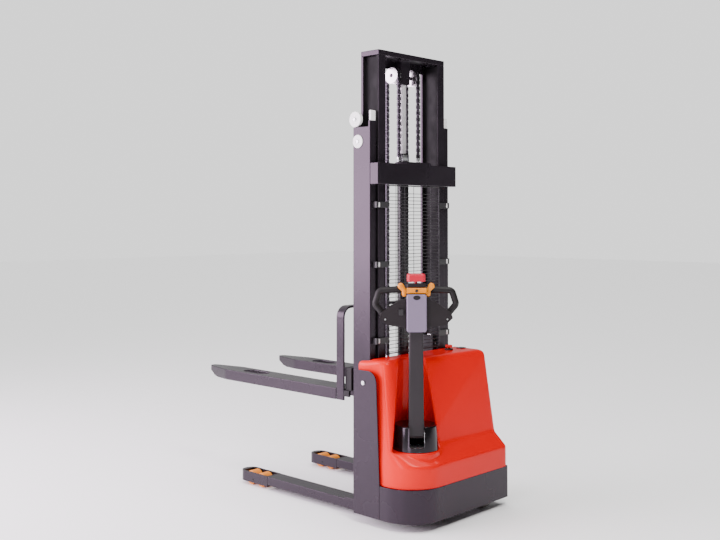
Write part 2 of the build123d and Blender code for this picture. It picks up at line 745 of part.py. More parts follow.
def rear_hood():
    """Red moulded hood over battery and pump, with the niche for the tiller."""
    outer = hood_body(0.0, hood_bottom)
    inner = hood_body(hood_wall, hood_bottom - 10.0)
    shell = outer - inner
    shell -= rod_z(turret_x, turret_y, turret_bottom - 30.0, turret_bottom + 10.0, motor_d + motor_room)
    swing = arm_foot_width / 2 + arm_clear
    path = block(-2 * turret_low_r, 0, -swing, swing, pivot_z - arm_thick / 2 - arm_clear, hood_top)
    for turn in (tiller_turn, tiller_turn + steer_left_stop):
        shell -= Pos(turret_x, turret_y) * Rot(0, 0, turn) * path
    ear_y0 = mast_half + plate + hood_ear_gap
    ear_y1 = hood_half - low_draft
    ear_top = hood_top - hood_ear_step
    ear = block(hood_front, hood_ear_front, ear_y0, ear_y1, ear_bottom, ear_top)
    ear -= block(hood_front, hood_ear_front - hood_ear_wall, ear_y0 + hood_ear_wall,
                 ear_y1 - hood_ear_wall, ear_bottom, ear_top - hood_ear_wall)
    ear -= rod_y(bolt_x, ear_y1 - hood_ear_wall, ear_y1, bolt_z, bolt_d + 0.4)
    shell += ear
    shell += right_of(ear)
    shell -= rod_z(stop_x, stop_y, hood_top - 30.0, hood_top + 1.0, stop_hole_d)
    return shell


# ---- controls on the hood --------------------------------------------------
stop_x = -102.0
stop_y = -200.0


def hood_controls():
    """Base of the stop switch and the flush charge meter beside it."""
    meter = block(-125.0, -85.0, -330.0, -280.0, hood_top, hood_top + 4.0)
    meter = fillet(meter.edges().filter_by(Axis.Z), 8.0)
    collar = rod_z(stop_x, stop_y, hood_top, hood_top + 8.0, 46.0)
    body = rod_z(stop_x, stop_y, hood_top - 34.0, hood_top, 23.0)
    base = collar + body - rod_z(stop_x, stop_y, hood_top - 24.0, hood_top + 8.0, 14.4)
    return Compound([base, meter])


def stop_knob():
    stem = rod_z(stop_x, stop_y, hood_top - 14.0, hood_top + 14.0, 14.0)
    head = rod_z(stop_x, stop_y, hood_top + 14.0, hood_top + 28.0, 40.0)
    head = fillet(head.edges().group_by(Axis.Z)[-1], 5.0)
    return stem + head


# ---- inside the hood -------------------------------------------------------
def battery():
    case = block(-168.0, -50.0, -345.0, 45.0, 470.0, 760.0)
    case = fillet(case.edges().filter_by(Axis.Z), 8.0)
    for y in (-300.0, -200.0, -100.0, 0.0):
        case += rod_z(-109.0, y, 760.0, 772.0, 18.0)
    return case


def hydraulic_tank():
    tank = block(-200.0, -50.0, -370.0, -170.0, floor_z, 400.0)
    tank = fillet(tank.edges().filter_by(Axis.Z), 14.0)
    return tank + rod_z(-100.0, -300.0, 400.0, 420.0, 40.0)


def power_pack():
    """Pump motor lying across the truck, the gear pump on its end, and the oil tank."""
    motor = rod_y(-112.0, -110.0, 30.0, 330.0, 112.0)
    pump = block(-150.0, -72.0, -168.0, -110.0, 290.0, 372.0)
    feet = block(-150.0, -74.0, -90.0, 10.0, floor_z, 290.0)
    return Compound([motor + feet, pump, hydraulic_tank()])


def controller():
    base = block(-60.0, hood_front, 60.0, 230.0, 560.0, 720.0)
    for index in range(8):
        y0 = 68.0 + index * 20.0
        base += block(-74.0, -60.0, y0, y0 + 5.0, 566.0, 714.0)
    return base


# ---- drive unit ------------------------------------------------------------
def on_turret(shape):
    """Place a piece modelled about the steering axis, facing -X, as the tiller is stored."""
    return Pos(turret_x, turret_y, 0) * Rot(0, 0, tiller_turn) * shape


def steering_bearing():
    outer = rod_z(turret_x, turret_y, floor_z, floor_z + 18.0, ring_d + 50.0)
    return outer - rod_z(turret_x, turret_y, floor_z, floor_z + 18.0, ring_d + 0.1)


def drive_bracket():
    """Turning frame: ring in the bearing, fork cheek, gearbox and the wheel's axle."""
    ring = rod_z(0, 0, floor_z - 6.0, floor_z + 18.0, ring_d)
    gap = drive_wheel_width / 2 + 6.0
    z = drive_wheel_d / 2
    gearbox = block(-45.0, 45.0, gap, gap + 44.0, z - 45.0, floor_z - 6.0)
    gearbox = fillet(gearbox.edges().filter_by(Axis.Y).group_by(Axis.Z)[0], 40.0)
    deck = block(-60.0, 60.0, -gap, gap + 44.0, floor_z - 14.0, floor_z - 6.0)
    deck = deck & rod_z(0, 0, floor_z - 14.0, floor_z - 6.0, 2 * 94.0)
    deck -= rod_y(0, -gap, gap, z, drive_wheel_d + 8.0)
    axle = rod_y(0, -drive_wheel_width / 2, gap, z, drive_axle_d)
    return ring + deck + gearbox + axle


def drive_motor():
    body = rod_z(0, 0, floor_z + 18.0, turret_bottom, motor_d)
    for index in range(4):
        z = floor_z + 36.0 + index * 26.0
        body += rod_z(0, 0, z, z + 8.0, motor_d + 10.0)
    return body


def drive_tyre():
    z = drive_wheel_d / 2
    half = drive_wheel_width / 2
    tyre = rod_y(0, -half, half, z, drive_wheel_d)
    rims = [e for e in tyre.edges() if e.geom_type == GeomType.CIRCLE]
    tyre = fillet(rims, 6.0)
    return tyre - rod_y(0, -half, half, z, drive_hub_d)


def drive_hub():
    z = drive_wheel_d / 2
    half = drive_wheel_width / 2
    hub = rod_y(0, -half, half, z, drive_hub_d)
    hub -= rod_y(0, -half, -half + 14.0, z, drive_hub_d - 20.0) - rod_y(0, -half, -half + 14.0, z, 56.0)
    return hub - rod_y(0, -half, half, z, drive_axle_d + 0.1)


# ---- castor ----------------------------------------------------------------
castor_plate_z = floor_z - floor_plate


def castor_fork():
    """Swivelling fork with its kingpin and head."""
    wheel_x = castor_x - castor_trail
    gap = castor_wheel_width / 2 + 3.0
    z = castor_wheel_d / 2
    crown_z = castor_plate_z - 20.0
    shape = block(wheel_x - 26.0, castor_x + 30.0, castor_y - gap - 5.0, castor_y + gap + 5.0,
                  crown_z - 8.0, crown_z)
    for side in (-1, 1):
        y0, y1 = sorted((castor_y + side * gap, castor_y + side * (gap + 5.0)))
        profile = Polyline((wheel_x - 26.0, crown_z), (castor_x + 30.0, crown_z),
                           (wheel_x + 18.0, z - 16.0), (wheel_x - 18.0, z - 16.0), close=True)
        cheek = extrude(Plane.XZ.offset(-y1) * make_face(profile), y1 - y0)
        shape += cheek
    shape += rod_z(castor_x, castor_y, crown_z, castor_plate_z - touch_gap, 60.0)
    shape += rod_z(castor_x, castor_y, castor_plate_z - touch_gap, floor_z + 14.0, kingpin_d)
    return shape + rod_y(wheel_x, castor_y - gap, castor_y + gap, z, castor_axle_d)


def castor_wheel():
    x = castor_x - castor_trail
    z = castor_wheel_d / 2
    y0 = castor_y - castor_wheel_width / 2
    y1 = castor_y + castor_wheel_width / 2
    wheel = rod_y(x, y0, y1, z, castor_wheel_d)
    rims = [e for e in wheel.edges() if e.geom_type == GeomType.CIRCLE]
    wheel = fillet(rims, 8.0)
    return wheel - rod_y(x, y0, y1, z, castor_axle_d + 0.1)


# ---- turret and tiller -----------------------------------------------------
ear_gap = arm_foot_width / 2 + 1.0


def turret():
    """Black shroud that turns with the tiller, open at the front for the arm."""
    outer = cone_z(0, 0, turret_bottom, turret_top, turret_low_r, turret_top_r)
    outer = fillet(outer.edges().group_by(Axis.Z)[-1], 8.0)
    inner = cone_z(0, 0, turret_bottom + 8.0, turret_top - turret_wall, turret_low_r - turret_wall,
                   turret_top_r - turret_wall)
    shell = outer - inner
    slot = block(-turret_low_r - 5.0, pivot_x + 32.0, -ear_gap, ear_gap, turret_bottom + 22.0,
                 turret_top + 5.0)
    return shell - slot


def tiller_bracket():
    """Two ears on a foot plate, with the tiller pin pressed into them."""
    foot = block(pivot_x - 26.0, pivot_x + 60.0, -ear_gap - ear_thick, ear_gap + ear_thick,
                 turret_bottom + 8.0, turret_bottom + 16.0)
    foot = foot & rod_z(0, 0, turret_bottom + 8.0, turret_bottom + 16.0, 2 * (turret_low_r - 12.0))
    shape = foot
    for side in (-1, 1):
        y0, y1 = sorted((side * ear_gap, side * (ear_gap + ear_thick)))
        ear = block(pivot_x - 18.0, pivot_x + 22.0, y0, y1, turret_bottom + 16.0, pivot_z + 18.0)
        shape += ear
    pin = rod_y(pivot_x, -ear_gap - ear_thick, ear_gap + ear_thick, pivot_z, pivot_pin_d)
    return Compound([shape - pin, pin])


def tiller_arm():
    """Box-section tiller arm, a little wider at its foot, with the pivot bore."""
    mid_z = pivot_z + 60.0
    front = pivot_x - arm_thick / 2
    back = pivot_x + arm_thick / 2
    foot = block(front, back, -arm_foot_width / 2, arm_foot_width / 2, pivot_z, mid_z)
    foot += rod_y(pivot_x, -arm_foot_width / 2, arm_foot_width / 2, pivot_z, arm_thick)
    low = Pos(pivot_x, 0, mid_z) * Rectangle(arm_thick, arm_foot_width)
    high = Pos(pivot_x, 0, arm_top) * Rectangle(arm_thick, arm_width)
    arm = loft([low, high], ruled=True)
    arm = fillet(arm.edges().filter_by(lambda e: abs(e.tangent_at(0.5).Z) > 0.9), 7.0)
    shape = foot + arm
    return shape - rod_y(pivot_x, -arm_foot_width / 2, arm_foot_width / 2, pivot_z, pivot_pin_d + 0.1)


core_front = head_x - 22.0
core_back = grip_x + grip_d / 2 + 2.0
shield_x0 = core_front - shield_thick
core_half = 50.0
core_top = 1226.0
button_gap = 11.0             # button above the head, more than its travel
button_z0 = core_top + button_gap
button_stem = 16.0
button_bore = button_stem + 0.4
rocker_z = 1083.0
horn_d = 14.4
horn_travel = 3.0


def head_core():
    """Dark centre housing of the tiller head, with the wings' shaft bore and lower plates."""
    body = block(core_front, core_back, -core_half, core_half, arm_top, core_top)
    body = fillet(body.edges().filter_by(Axis.Z), 10.0)
    for side in (-1, 1):
        line = Polyline((side * 45.0, 1000.0), (side * 150.0, 1018.0), (side * 186.0, 1052.0),
                        (side * 178.0, 1078.0), (side * 90.0, 1140.0), (side * 45.0, 1150.0), close=True)
        plane = Plane(origin=(core_front + 6.0, 0, 0), x_dir=(0, 1, 0), z_dir=(1, 0, 0))
        body += extrude(plane * make_face(line), grip_x - core_front - 6.0)
    body -= grip()
    body -= right_of(grip())
    body -= rod_y(head_x, -core_half, core_half, wing_axis_z, wing_shaft_d + 0.1)
    body -= rod_x(core_front, core_front + horn_travel + 1.0, 0, wing_axis_z, horn_d + 0.6)
    return body - rod_z(head_x + 10.0, 0, wing_axis_z + 11.0, core_top, button_bore)


def head_shield():
    """Light cover over the front of the head, slightly crowned."""
    face = block(shield_x0, core_front, -shield_width / 2, shield_width / 2, shield_bottom, shield_top)
    face = fillet(face.edges().filter_by(Axis.X), 12.0)
    return fillet(face.edges().group_by(Axis.X)[0], 6.0)


def grip():
    """Loop handle from the head's shoulder round to the lower plate, left hand."""
    r = grip_d / 2
    y_out = grip_half - r
    path = FilletPolyline((grip_x, 50.0, 1196.0), (grip_x, y_out - 22.0, 1190.0),
                          (grip_x, y_out, 1120.0), (grip_x, 140.0, 1040.0),
                          radius=24.0)
    start = Plane(origin=path @ 0, z_dir=path % 0)
    return sweep(start * Circle(r), path)


def wings():
    """Butterfly speed control: two wings on one shaft through the head."""
    shape = rod_y(head_x, -54.0, 54.0, wing_axis_z, wing_shaft_d)
    for side in (-1, 1):
        y0, y1 = sorted((side * 54.0, side * 98.0))
        hub = rod_y(head_x, y0, y1, wing_axis_z, 26.0)
        blade = block(head_x - 9.0, head_x + 4.0, y0, y1, wing_axis_z - 34.0, wing_axis_z + 40.0)
        blade = fillet(blade.edges().filter_by(Axis.X), 10.0)
        shape += hub + blade
    return shape


def belly_button():
    """Red anti-crush button on top of the head, on its plunger."""
    cap = block(head_x - 32.0, head_x + 32.0, -46.0, 46.0, button_z0, tiller_top)
    cap = fillet(cap.edges().filter_by(Axis.Z), 14.0)
    cap = fillet(cap.edges().group_by(Axis.Z)[-1], 10.0)
    stem = rod_z(head_x + 10.0, 0, wing_axis_z + 21.0, button_z0, button_stem)
    return cap + stem


def bar_cover():
    """Yellow bar across the head's front below the red button."""
    bar = block(core_front - 14.0, core_front, -50.0, 50.0, 1178.0, 1206.0)
    bar = fillet(bar.edges().filter_by(Axis.Y), 5.0)
    return bar - rod_x(core_front - 14.0, core_front, 0, wing_axis_z, horn_d + 0.6)


def horn_button():
    return rod_x(core_front - 18.0, core_front, 0, wing_axis_z, horn_d)


def lift_rocker():
    """Spring-centred rocker on the lower plate: top lifts, bottom lowers."""
    key = block(core_front - 6.0, core_front + 3.0, 66.0, 90.0, rocker_z - 15.0, rocker_z + 15.0)
    key = fillet(key.edges().filter_by(Axis.X), 5.0)
    return key + rod_y(core_front + 2.9, 66.0, 90.0, rocker_z, 6.0)


def build_fixed():
    keep("outer_mast_rails", both_sides(mast_rail()))
    keep("mast_cross_members", Compound([bridge(), low_tie()]))
    keep("mast_guard", mast_guard())
    keep("guard_clips", guard_clips())
    keep("mast_nylon_stops", nylon_stops())
    keep("lift_cylinder", lift_barrel())
    keep("chain_anchors_mast", mast_anchors())
    keep("support_legs", both_sides(leg()))
    keep("leg_toes", both_sides(toe()))
    keep("side_plates", both_sides(side_plate()))
    keep("side_plate_bolts", side_bolts())
    keep("chassis_frame", chassis_frame())
    keep("rear_skirt", skirt())
    keep("rear_hood", rear_hood())
    keep("hood_controls", hood_controls())
    keep("battery", battery())
    keep("power_pack", power_pack())
    keep("motor_controller", controller())
    keep("steering_bearing", steering_bearing())


def build_lifting():
    keep("inner_mast_rails", both_sides(inner_rail()))
    keep("inner_cross_members", Compound([top_beam() + yoke(), inner_tie()]))
    keep("chain_pulleys", both_sides(chain_pulley()))
    keep("lift_rod", lift_rod())
    keep("chain_wraps", chain_wrap())
    keep("chains_rear", chain_strand(cylinder_x - pulley_d / 2, anchor_top, pulley_z))
    front_anchor = carriage_anchor_top + 24.0
    keep("chains_front", chain_strand(cylinder_x + pulley_d / 2, front_anchor, pulley_z))
    lane_out = mast_half - rail_web - 2.0
    lane_in = inner_outer_y + rail_gap + 2.0
    roller = channel_roller(outer_mid_x, lane_in, lane_out, inner_roller_z, outer_roller_d)
    keep("inner_mast_rollers", both_sides(roller))
    lane_in = inner_web_y + inner_web / 2 + roller_play
    roller = channel_roller(inner_mid_x, lane_in, inner_outer_y - 1.0, top_roller_z, inner_roller_d)
    keep("outer_mast_rollers", both_sides(roller))


def build_carriage():
    keep("carriage_frame", carriage_frame())
    keep("carriage_anchors", carriage_anchors())
    keep("load_backrest", load_backrest())
    keep("fork_left", fork())
    keep("fork_right", right_of(fork()))
    lane_out = inner_web_y - inner_web / 2 - 2.0
    lane_in = carriage_plate_y1 + 2.0
    for name, z in (("low", carriage_roller_low), ("high", carriage_roller_high)):
        roller = channel_roller(inner_mid_x, lane_in, lane_out, z, inner_roller_d)
        keep("carriage_rollers_" + name, both_sides(roller))


def build_rollers():
    keep("bogie_left", bogie())
    keep("bogie_right", right_of(bogie()))
    for name, x in zip(("rear", "front"), load_roller_x):
        keep("load_roller_" + name + "_left", load_roller(x))
        keep("load_roller_" + name + "_right", right_of(load_roller(x)))


def build_steered():
    keep("drive_bracket", on_turret(drive_bracket()))
    keep("drive_motor", on_turret(drive_motor()))
    keep("drive_tyre", on_turret(drive_tyre()))
    keep("drive_hub", on_turret(drive_hub()))
    keep("castor_fork", castor_fork())
    keep("castor_wheel", castor_wheel())
    keep("turret_shroud", on_turret(turret()))
    keep("tiller_bracket", on_turret(tiller_bracket()))
    keep("tiller_arm", on_turret(tiller_arm()))
    keep("head_core", on_turret(head_core()))
    keep("head_shield", on_turret(head_shield()))
    keep("grip_left", on_turret(grip()))
    keep("grip_right", on_turret(right_of(grip())))
    keep("speed_wings", on_turret(wings()))
    keep("belly_button", on_turret(belly_button()))
    keep("head_bar", on_turret(bar_cover()))
    keep("horn_button", on_turret(horn_button()))
    keep("lift_rocker", on_turret(lift_rocker()))
    keep("stop_knob", stop_knob())


build_fixed()
build_lifting()
build_carriage()
build_rollers()
build_steered()
write_pieces()
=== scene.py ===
import json
import math

import bpy
from mathutils import Matrix, Vector


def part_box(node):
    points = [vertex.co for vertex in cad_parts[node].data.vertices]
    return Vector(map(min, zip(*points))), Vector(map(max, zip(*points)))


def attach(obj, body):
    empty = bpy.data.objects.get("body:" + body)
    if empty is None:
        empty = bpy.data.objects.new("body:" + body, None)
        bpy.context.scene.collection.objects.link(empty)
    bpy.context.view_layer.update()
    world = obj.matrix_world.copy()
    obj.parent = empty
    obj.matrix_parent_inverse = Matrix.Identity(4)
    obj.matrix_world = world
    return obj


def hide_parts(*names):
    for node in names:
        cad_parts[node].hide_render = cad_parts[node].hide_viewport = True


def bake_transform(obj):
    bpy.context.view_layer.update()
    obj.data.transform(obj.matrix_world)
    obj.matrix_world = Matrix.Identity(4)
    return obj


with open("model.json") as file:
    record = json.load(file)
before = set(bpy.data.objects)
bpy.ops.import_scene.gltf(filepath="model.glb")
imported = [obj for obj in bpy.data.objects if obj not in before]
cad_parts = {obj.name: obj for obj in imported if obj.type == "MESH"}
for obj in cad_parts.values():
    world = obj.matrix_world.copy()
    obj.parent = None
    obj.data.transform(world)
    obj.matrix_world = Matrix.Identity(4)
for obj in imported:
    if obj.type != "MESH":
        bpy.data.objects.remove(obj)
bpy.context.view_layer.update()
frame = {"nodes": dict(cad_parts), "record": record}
nodes = frame["nodes"]
slot_of = {row["node"]: row["material_slot"] for row in frame["record"]["subparts"]}

# ---- camera, floor and studio light ----------------------------------------
# The truck stands on a pale floor and is seen from its left rear at eye height.
# A tall soft panel in front of its left side shines in the paint of the left
# faces; the side behind the right shoulder is kept dim, so rear faces stay black.
mast_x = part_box("outer_mast_rails")[0][0]
camera_data = bpy.data.cameras.new("camera")
camera = bpy.data.objects.new("camera", camera_data)
bpy.context.scene.collection.objects.link(camera)
bpy.context.scene.camera = camera
camera_data.sensor_width = 36.0
camera_data.lens = 48.04
camera_data.shift_y = -0.1012
camera_data.clip_end = 80.0
camera.location = (mast_x - 3.4079, 3.9806, 1.55)
yaw = math.radians(46.402)
pitch = math.radians(1.358)
look = Vector((math.cos(yaw) * math.cos(pitch), -math.sin(yaw) * math.cos(pitch), math.sin(pitch)))
camera.rotation_euler = look.to_track_quat("-Z", "Y").to_euler()


def clear_selection():
    bpy.ops.object.select_all(action="DESELECT")


clear_selection()
bpy.ops.mesh.primitive_plane_add(size=60.0, location=(0, 0, 0))
floor = bpy.context.object
floor.name = "floor"
floor_paint = bpy.data.materials.new("pale_floor")
floor_paint.use_nodes = True
floor_shader = floor_paint.node_tree.nodes["Principled BSDF"]
floor_shader.inputs["Base Color"].default_value = (0.97, 0.97, 0.97, 1)
floor_shader.inputs["Roughness"].default_value = 0.6
floor.data.materials.append(floor_paint)

world = bpy.data.worlds.new("studio")
bpy.context.scene.world = world
world.use_nodes = True
world_nodes = world.node_tree.nodes
world_links = world.node_tree.links
world_shade = world_nodes["Background"]
world_shade.inputs["Color"].default_value = (1.0, 1.0, 1.0, 1)
direction = world_nodes.new("ShaderNodeTexCoord")
towards = world_nodes.new("ShaderNodeVectorMath")
towards.operation = "DOT_PRODUCT"
towards.inputs[1].default_value = (0.78, 0.30, 0.30)
world_links.new(direction.outputs["Generated"], towards.inputs[0])
spread = world_nodes.new("ShaderNodeMapRange")
spread.inputs["From Min"].default_value = 0.0
spread.inputs["From Max"].default_value = 0.75
spread.inputs["To Min"].default_value = 0.02
spread.inputs["To Max"].default_value = 1.1
world_links.new(towards.outputs["Value"], spread.inputs["Value"])
seen = world_nodes.new("ShaderNodeLightPath")
backdrop = world_nodes.new("ShaderNodeMix")
backdrop.data_type = "FLOAT"
world_links.new(seen.outputs["Is Camera Ray"], backdrop.inputs["Factor"])
world_links.new(spread.outputs["Result"], backdrop.inputs["A"])
backdrop.inputs["B"].default_value = 1.45
world_links.new(backdrop.outputs["Result"], world_shade.inputs["Strength"])


def soft_panel(name, place, target, width, height, power, colour):
    data = bpy.data.lights.new(name, "AREA")
    data.shape = "RECTANGLE"
    data.size = width
    data.size_y = height
    data.energy = power
    data.color = colour
    lamp = bpy.data.objects.new(name, data)
    bpy.context.scene.collection.objects.link(lamp)
    lamp.location = place
    lamp.rotation_euler = (Vector(target) - Vector(place)).to_track_quat("-Z", "Y").to_euler()


soft_panel("left_panel", (2.6, 4.2, 2.3), (-0.2, 0.2, 1.2), 4.4, 3.4, 600, (1.0, 0.82, 1.0))
soft_panel("key_panel", (-3.4, 1.6, 4.6), (-0.6, 0.0, 0.7), 1.2, 1.0, 130, (1.0, 0.97, 0.94))
soft_panel("side_panel", (-1.5, 4.7, 1.5), (-0.4, 0.1, 0.9), 1.0, 2.8, 90, (1.0, 0.86, 1.0))
sky_data = bpy.data.lights.new("sky", "SUN")
sky_data.energy = 3.3
sky_data.angle = math.radians(70)
sky = bpy.data.objects.new("sky", sky_data)
bpy.context.scene.collection.objects.link(sky)


# ---- fixed mast ------------------------------------------------------------
# Two rolled channels stand on the support legs, with a box cross-member near
# the top and a tie at the foot, all welded steel.
# The steel is sprayed charcoal: a slightly uneven gloss coat over soft edges.
edge_angle = math.radians(32)
steel_edge = 0.0022


def coat(name, low, high, rough_low, rough_high, patch, grain, depth, metallic=0.0, gloss_coat=0.0,
         shine=0.5, shine_tint=(1, 1, 1)):
    """A finish whose colour and roughness drift in patches, over a fine grain."""
    paint = bpy.data.materials.new(name)
    paint.use_nodes = True
    tree = paint.node_tree
    shader = tree.nodes["Principled BSDF"]
    place = tree.nodes.new("ShaderNodeTexCoord")
    clouds = tree.nodes.new("ShaderNodeTexNoise")
    clouds.inputs["Scale"].default_value = patch
    clouds.inputs["Detail"].default_value = 5.0
    tree.links.new(place.outputs["Object"], clouds.inputs["Vector"])
    tint = tree.nodes.new("ShaderNodeMix")
    tint.data_type = "RGBA"
    tint.inputs["A"].default_value = (*low, 1)
    tint.inputs["B"].default_value = (*high, 1)
    tree.links.new(clouds.outputs["Fac"], tint.inputs["Factor"])
    tree.links.new(tint.outputs["Result"], shader.inputs["Base Color"])
    rough = tree.nodes.new("ShaderNodeMapRange")
    rough.inputs["From Min"].default_value = 0.3
    rough.inputs["From Max"].default_value = 0.7
    rough.inputs["To Min"].default_value = rough_low
    rough.inputs["To Max"].default_value = rough_high
    tree.links.new(clouds.outputs["Fac"], rough.inputs["Value"])
    tree.links.new(rough.outputs["Result"], shader.inputs["Roughness"])
    fine = tree.nodes.new("ShaderNodeTexNoise")
    fine.inputs["Scale"].default_value = grain
    fine.inputs["Detail"].default_value = 3.0
    tree.links.new(place.outputs["Object"], fine.inputs["Vector"])
    bump = tree.nodes.new("ShaderNodeBump")
    bump.inputs["Strength"].default_value = 0.35
    bump.inputs["Distance"].default_value = depth
    tree.links.new(fine.outputs["Fac"], bump.inputs["Height"])
    tree.links.new(bump.outputs["Normal"], shader.inputs["Normal"])
    shader.inputs["Metallic"].default_value = metallic
    shader.inputs["Specular IOR Level"].default_value = shine
    shader.inputs["Specular Tint"].default_value = (*shine_tint, 1)
    if gloss_coat:
        shader.inputs["Coat Weight"].default_value = gloss_coat
        shader.inputs["Coat Roughness"].default_value = 0.08
    return paint


def apply_modifiers(piece):
    clear_selection()
    piece.select_set(True)
    bpy.context.view_layer.objects.active = piece
    for modifier in list(piece.modifiers):
        bpy.ops.object.modifier_apply(modifier=modifier.name)


def edit(piece):
    """Open one piece in edit mode with its whole mesh selected."""
    clear_selection()
    piece.select_set(True)
    bpy.context.view_layer.objects.active = piece
    bpy.ops.object.mode_set(mode="EDIT")
    bpy.ops.mesh.select_mode(type="VERT")
    bpy.ops.mesh.select_all(action="SELECT")


def close_edit():
    bpy.ops.object.mode_set(mode="OBJECT")


def soften(piece, width, segments=2, angle=edge_angle, clamp=False):
    """Round the edges of a piece that are sharper than the angle."""
    bevel = piece.modifiers.new("edges", "BEVEL")
    bevel.width = width
    bevel.segments = segments
    bevel.limit_method = "ANGLE"
    bevel.angle_limit = angle
    bevel.use_clamp_overlap = clamp
    bevel.harden_normals = False
    apply_modifiers(piece)


def smooth(piece, angle=40):
    clear_selection()
    piece.select_set(True)
    bpy.context.view_layer.objects.active = piece
    bpy.ops.object.transform_apply(location=True, rotation=True, scale=True)
    bpy.ops.object.shade_smooth_by_angle(angle=math.radians(angle))


def hand_over(piece, body, slot, finish, *stood_for):
    """Give a finished piece its finish, its body and the frame nodes it stands for."""
    piece.data.materials.clear()
    piece.data.materials.append(finish)
    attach(piece, body)
    if stood_for:
        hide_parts(*stood_for)
    return piece


def weldment(name, node, body, finish, edge=steel_edge, segments=2, angle=40, clamp=False):
    """A piece with the frame node's form, its edges softened as ground and painted steel."""
    clear_selection()
    source = nodes[node]
    source.select_set(True)
    bpy.context.view_layer.objects.active = source
    bpy.ops.object.duplicate()
    piece = bpy.context.object
    piece.name = name
    piece.parent = None
    for key in list(piece.keys()):
        del piece[key]
    bpy.ops.mesh.customdata_custom_splitnormals_clear()
    edit(piece)
    bpy.ops.mesh.remove_doubles(threshold=0.00005)
    bpy.ops.mesh.dissolve_limited(angle_limit=math.radians(0.8))
    close_edit()
    if edge:
        soften(piece, edge, segments, clamp=clamp)
    smooth(piece, angle)
    even = piece.modifiers.new("even", "WEIGHTED_NORMAL")
    even.keep_sharp = True
    apply_modifiers(piece)
    return hand_over(piece, body, slot_of[node], finish, node)


charcoal = coat("charcoal_paint", (0.010, 0.008, 0.0105), (0.016, 0.013, 0.017), 0.22, 0.32, 3.0,
                420.0, 0.0004, shine=0.32, shine_tint=(1.0, 0.80, 1.0))
# A darker, duller copy of the charcoal: painted shade for the web faces in the recess between the flanges.
recess_shade = coat("painted_recess_shade", (0.004, 0.0035, 0.004), (0.009, 0.008, 0.009), 0.45, 0.7, 14.0,
                    260.0, 0.0008, shine=0.12)


def paint_recess_shade(piece, keep_out):
    """Painted shade on the running surfaces: the faces that lie deeper than keep_out from the truck's
    outside get a darker finish.
    """
    piece.data.materials.append(recess_shade)
    for face in piece.data.polygons:
        side = abs(face.center.y)
        if keep_out(side, face.normal, face.center):
            face.material_index = 1


channels = weldment("mast_channels", "outer_mast_rails", "chassis", charcoal, 0.003, 3)
rail_low, rail_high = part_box("outer_mast_rails")
flange_skin = 0.004
web_depth = 0.011
# The recessed web faces of the channels take the painted shade.
paint_recess_shade(channels, lambda side, normal, centre: side < rail_high.y - web_depth
       and rail_low.x + flange_skin < centre.x < rail_high.x - flange_skin)
weldment("mast_ties", "mast_cross_members", "chassis", charcoal, 0.003, 3)


def box_start(name, low, high):
    """A box between two corners, open for further work."""
    clear_selection()
    centre = [(a + b) / 2 for a, b in zip(low, high)]
    size = [abs(b - a) for a, b in zip(low, high)]
    bpy.ops.mesh.primitive_cube_add(size=1.0, location=centre)
    piece = bpy.context.object
    piece.name = name
    piece.scale = size
    bpy.ops.object.transform_apply(location=True, rotation=True, scale=True)
    return piece


def rod_start(name, end_a, end_b, radius, sides=32, tip_radius=None):
    """A round bar or cone between two points."""
    clear_selection()
    a, b = Vector(end_a), Vector(end_b)
    turn = (b - a).to_track_quat("Z", "Y").to_euler()
    top = radius if tip_radius is None else tip_radius
    bpy.ops.mesh.primitive_cone_add(vertices=sides, radius1=radius, radius2=top, depth=(b - a).length,
                                    location=(a + b) / 2, rotation=turn)
    bpy.ops.object.transform_apply(location=True, rotation=True, scale=True)
    piece = bpy.context.object
    piece.name = name
    return piece


def join(name, pieces):
    clear_selection()
    for piece in pieces:
        piece.select_set(True)
    bpy.context.view_layer.objects.active = pieces[0]
    if len(pieces) > 1:
        bpy.ops.object.join()
    pieces[0].name = name
    pieces[0].data.name = name
    return pieces[0]


def copy_by(piece, shift):
    """A copy of a piece, moved, with its own mesh."""
    clear_selection()
    piece.select_set(True)
    bpy.context.view_layer.objects.active = piece
    bpy.ops.object.duplicate()
    twin = bpy.context.object
    twin.data.transform(Matrix.Translation(shift))
    return twin


# ---- white nylon stops -----------------------------------------------------
# Turned nylon discs cushion the lifting mast at the top of each channel; a pad
# sits on the rear flange and a cap covers the end of the roller stub.
# Each is held by a zinc-plated hexagon bolt.
nylon = coat("white_nylon", (0.80, 0.80, 0.79), (0.90, 0.90, 0.89), 0.38, 0.5, 9.0, 300.0, 0.0003)
zinc = coat("zinc_plate", (0.55, 0.56, 0.57), (0.72, 0.73, 0.74), 0.22, 0.38, 25.0,
            600.0, 0.0002, metallic=1.0)
weldment("nylon_stops", "mast_nylon_stops", "chassis", nylon, 0.004, 3)
disc_x = mast_x + 0.112
disc_z = 2.082
disc_face_y = 0.3255
cap_face_y = 0.331
cap_z = 1.963
cap_x = mast_x + 0.087
bolts = []
for side in (-1, 1):
    y = side * disc_face_y
    bolts.append(rod_start("bolt", (disc_x, y, disc_z), (disc_x, y + side * 0.006, disc_z), 0.011, 6))
    y = side * cap_face_y
    bolts.append(rod_start("bolt", (cap_x, y, cap_z), (cap_x, y + side * 0.004, cap_z), 0.012, 6))
stop_bolts = join("stop_bolts", bolts)
soften(stop_bolts, 0.001)
smooth(stop_bolts)
hand_over(stop_bolts, "chassis", "zinc", zinc)

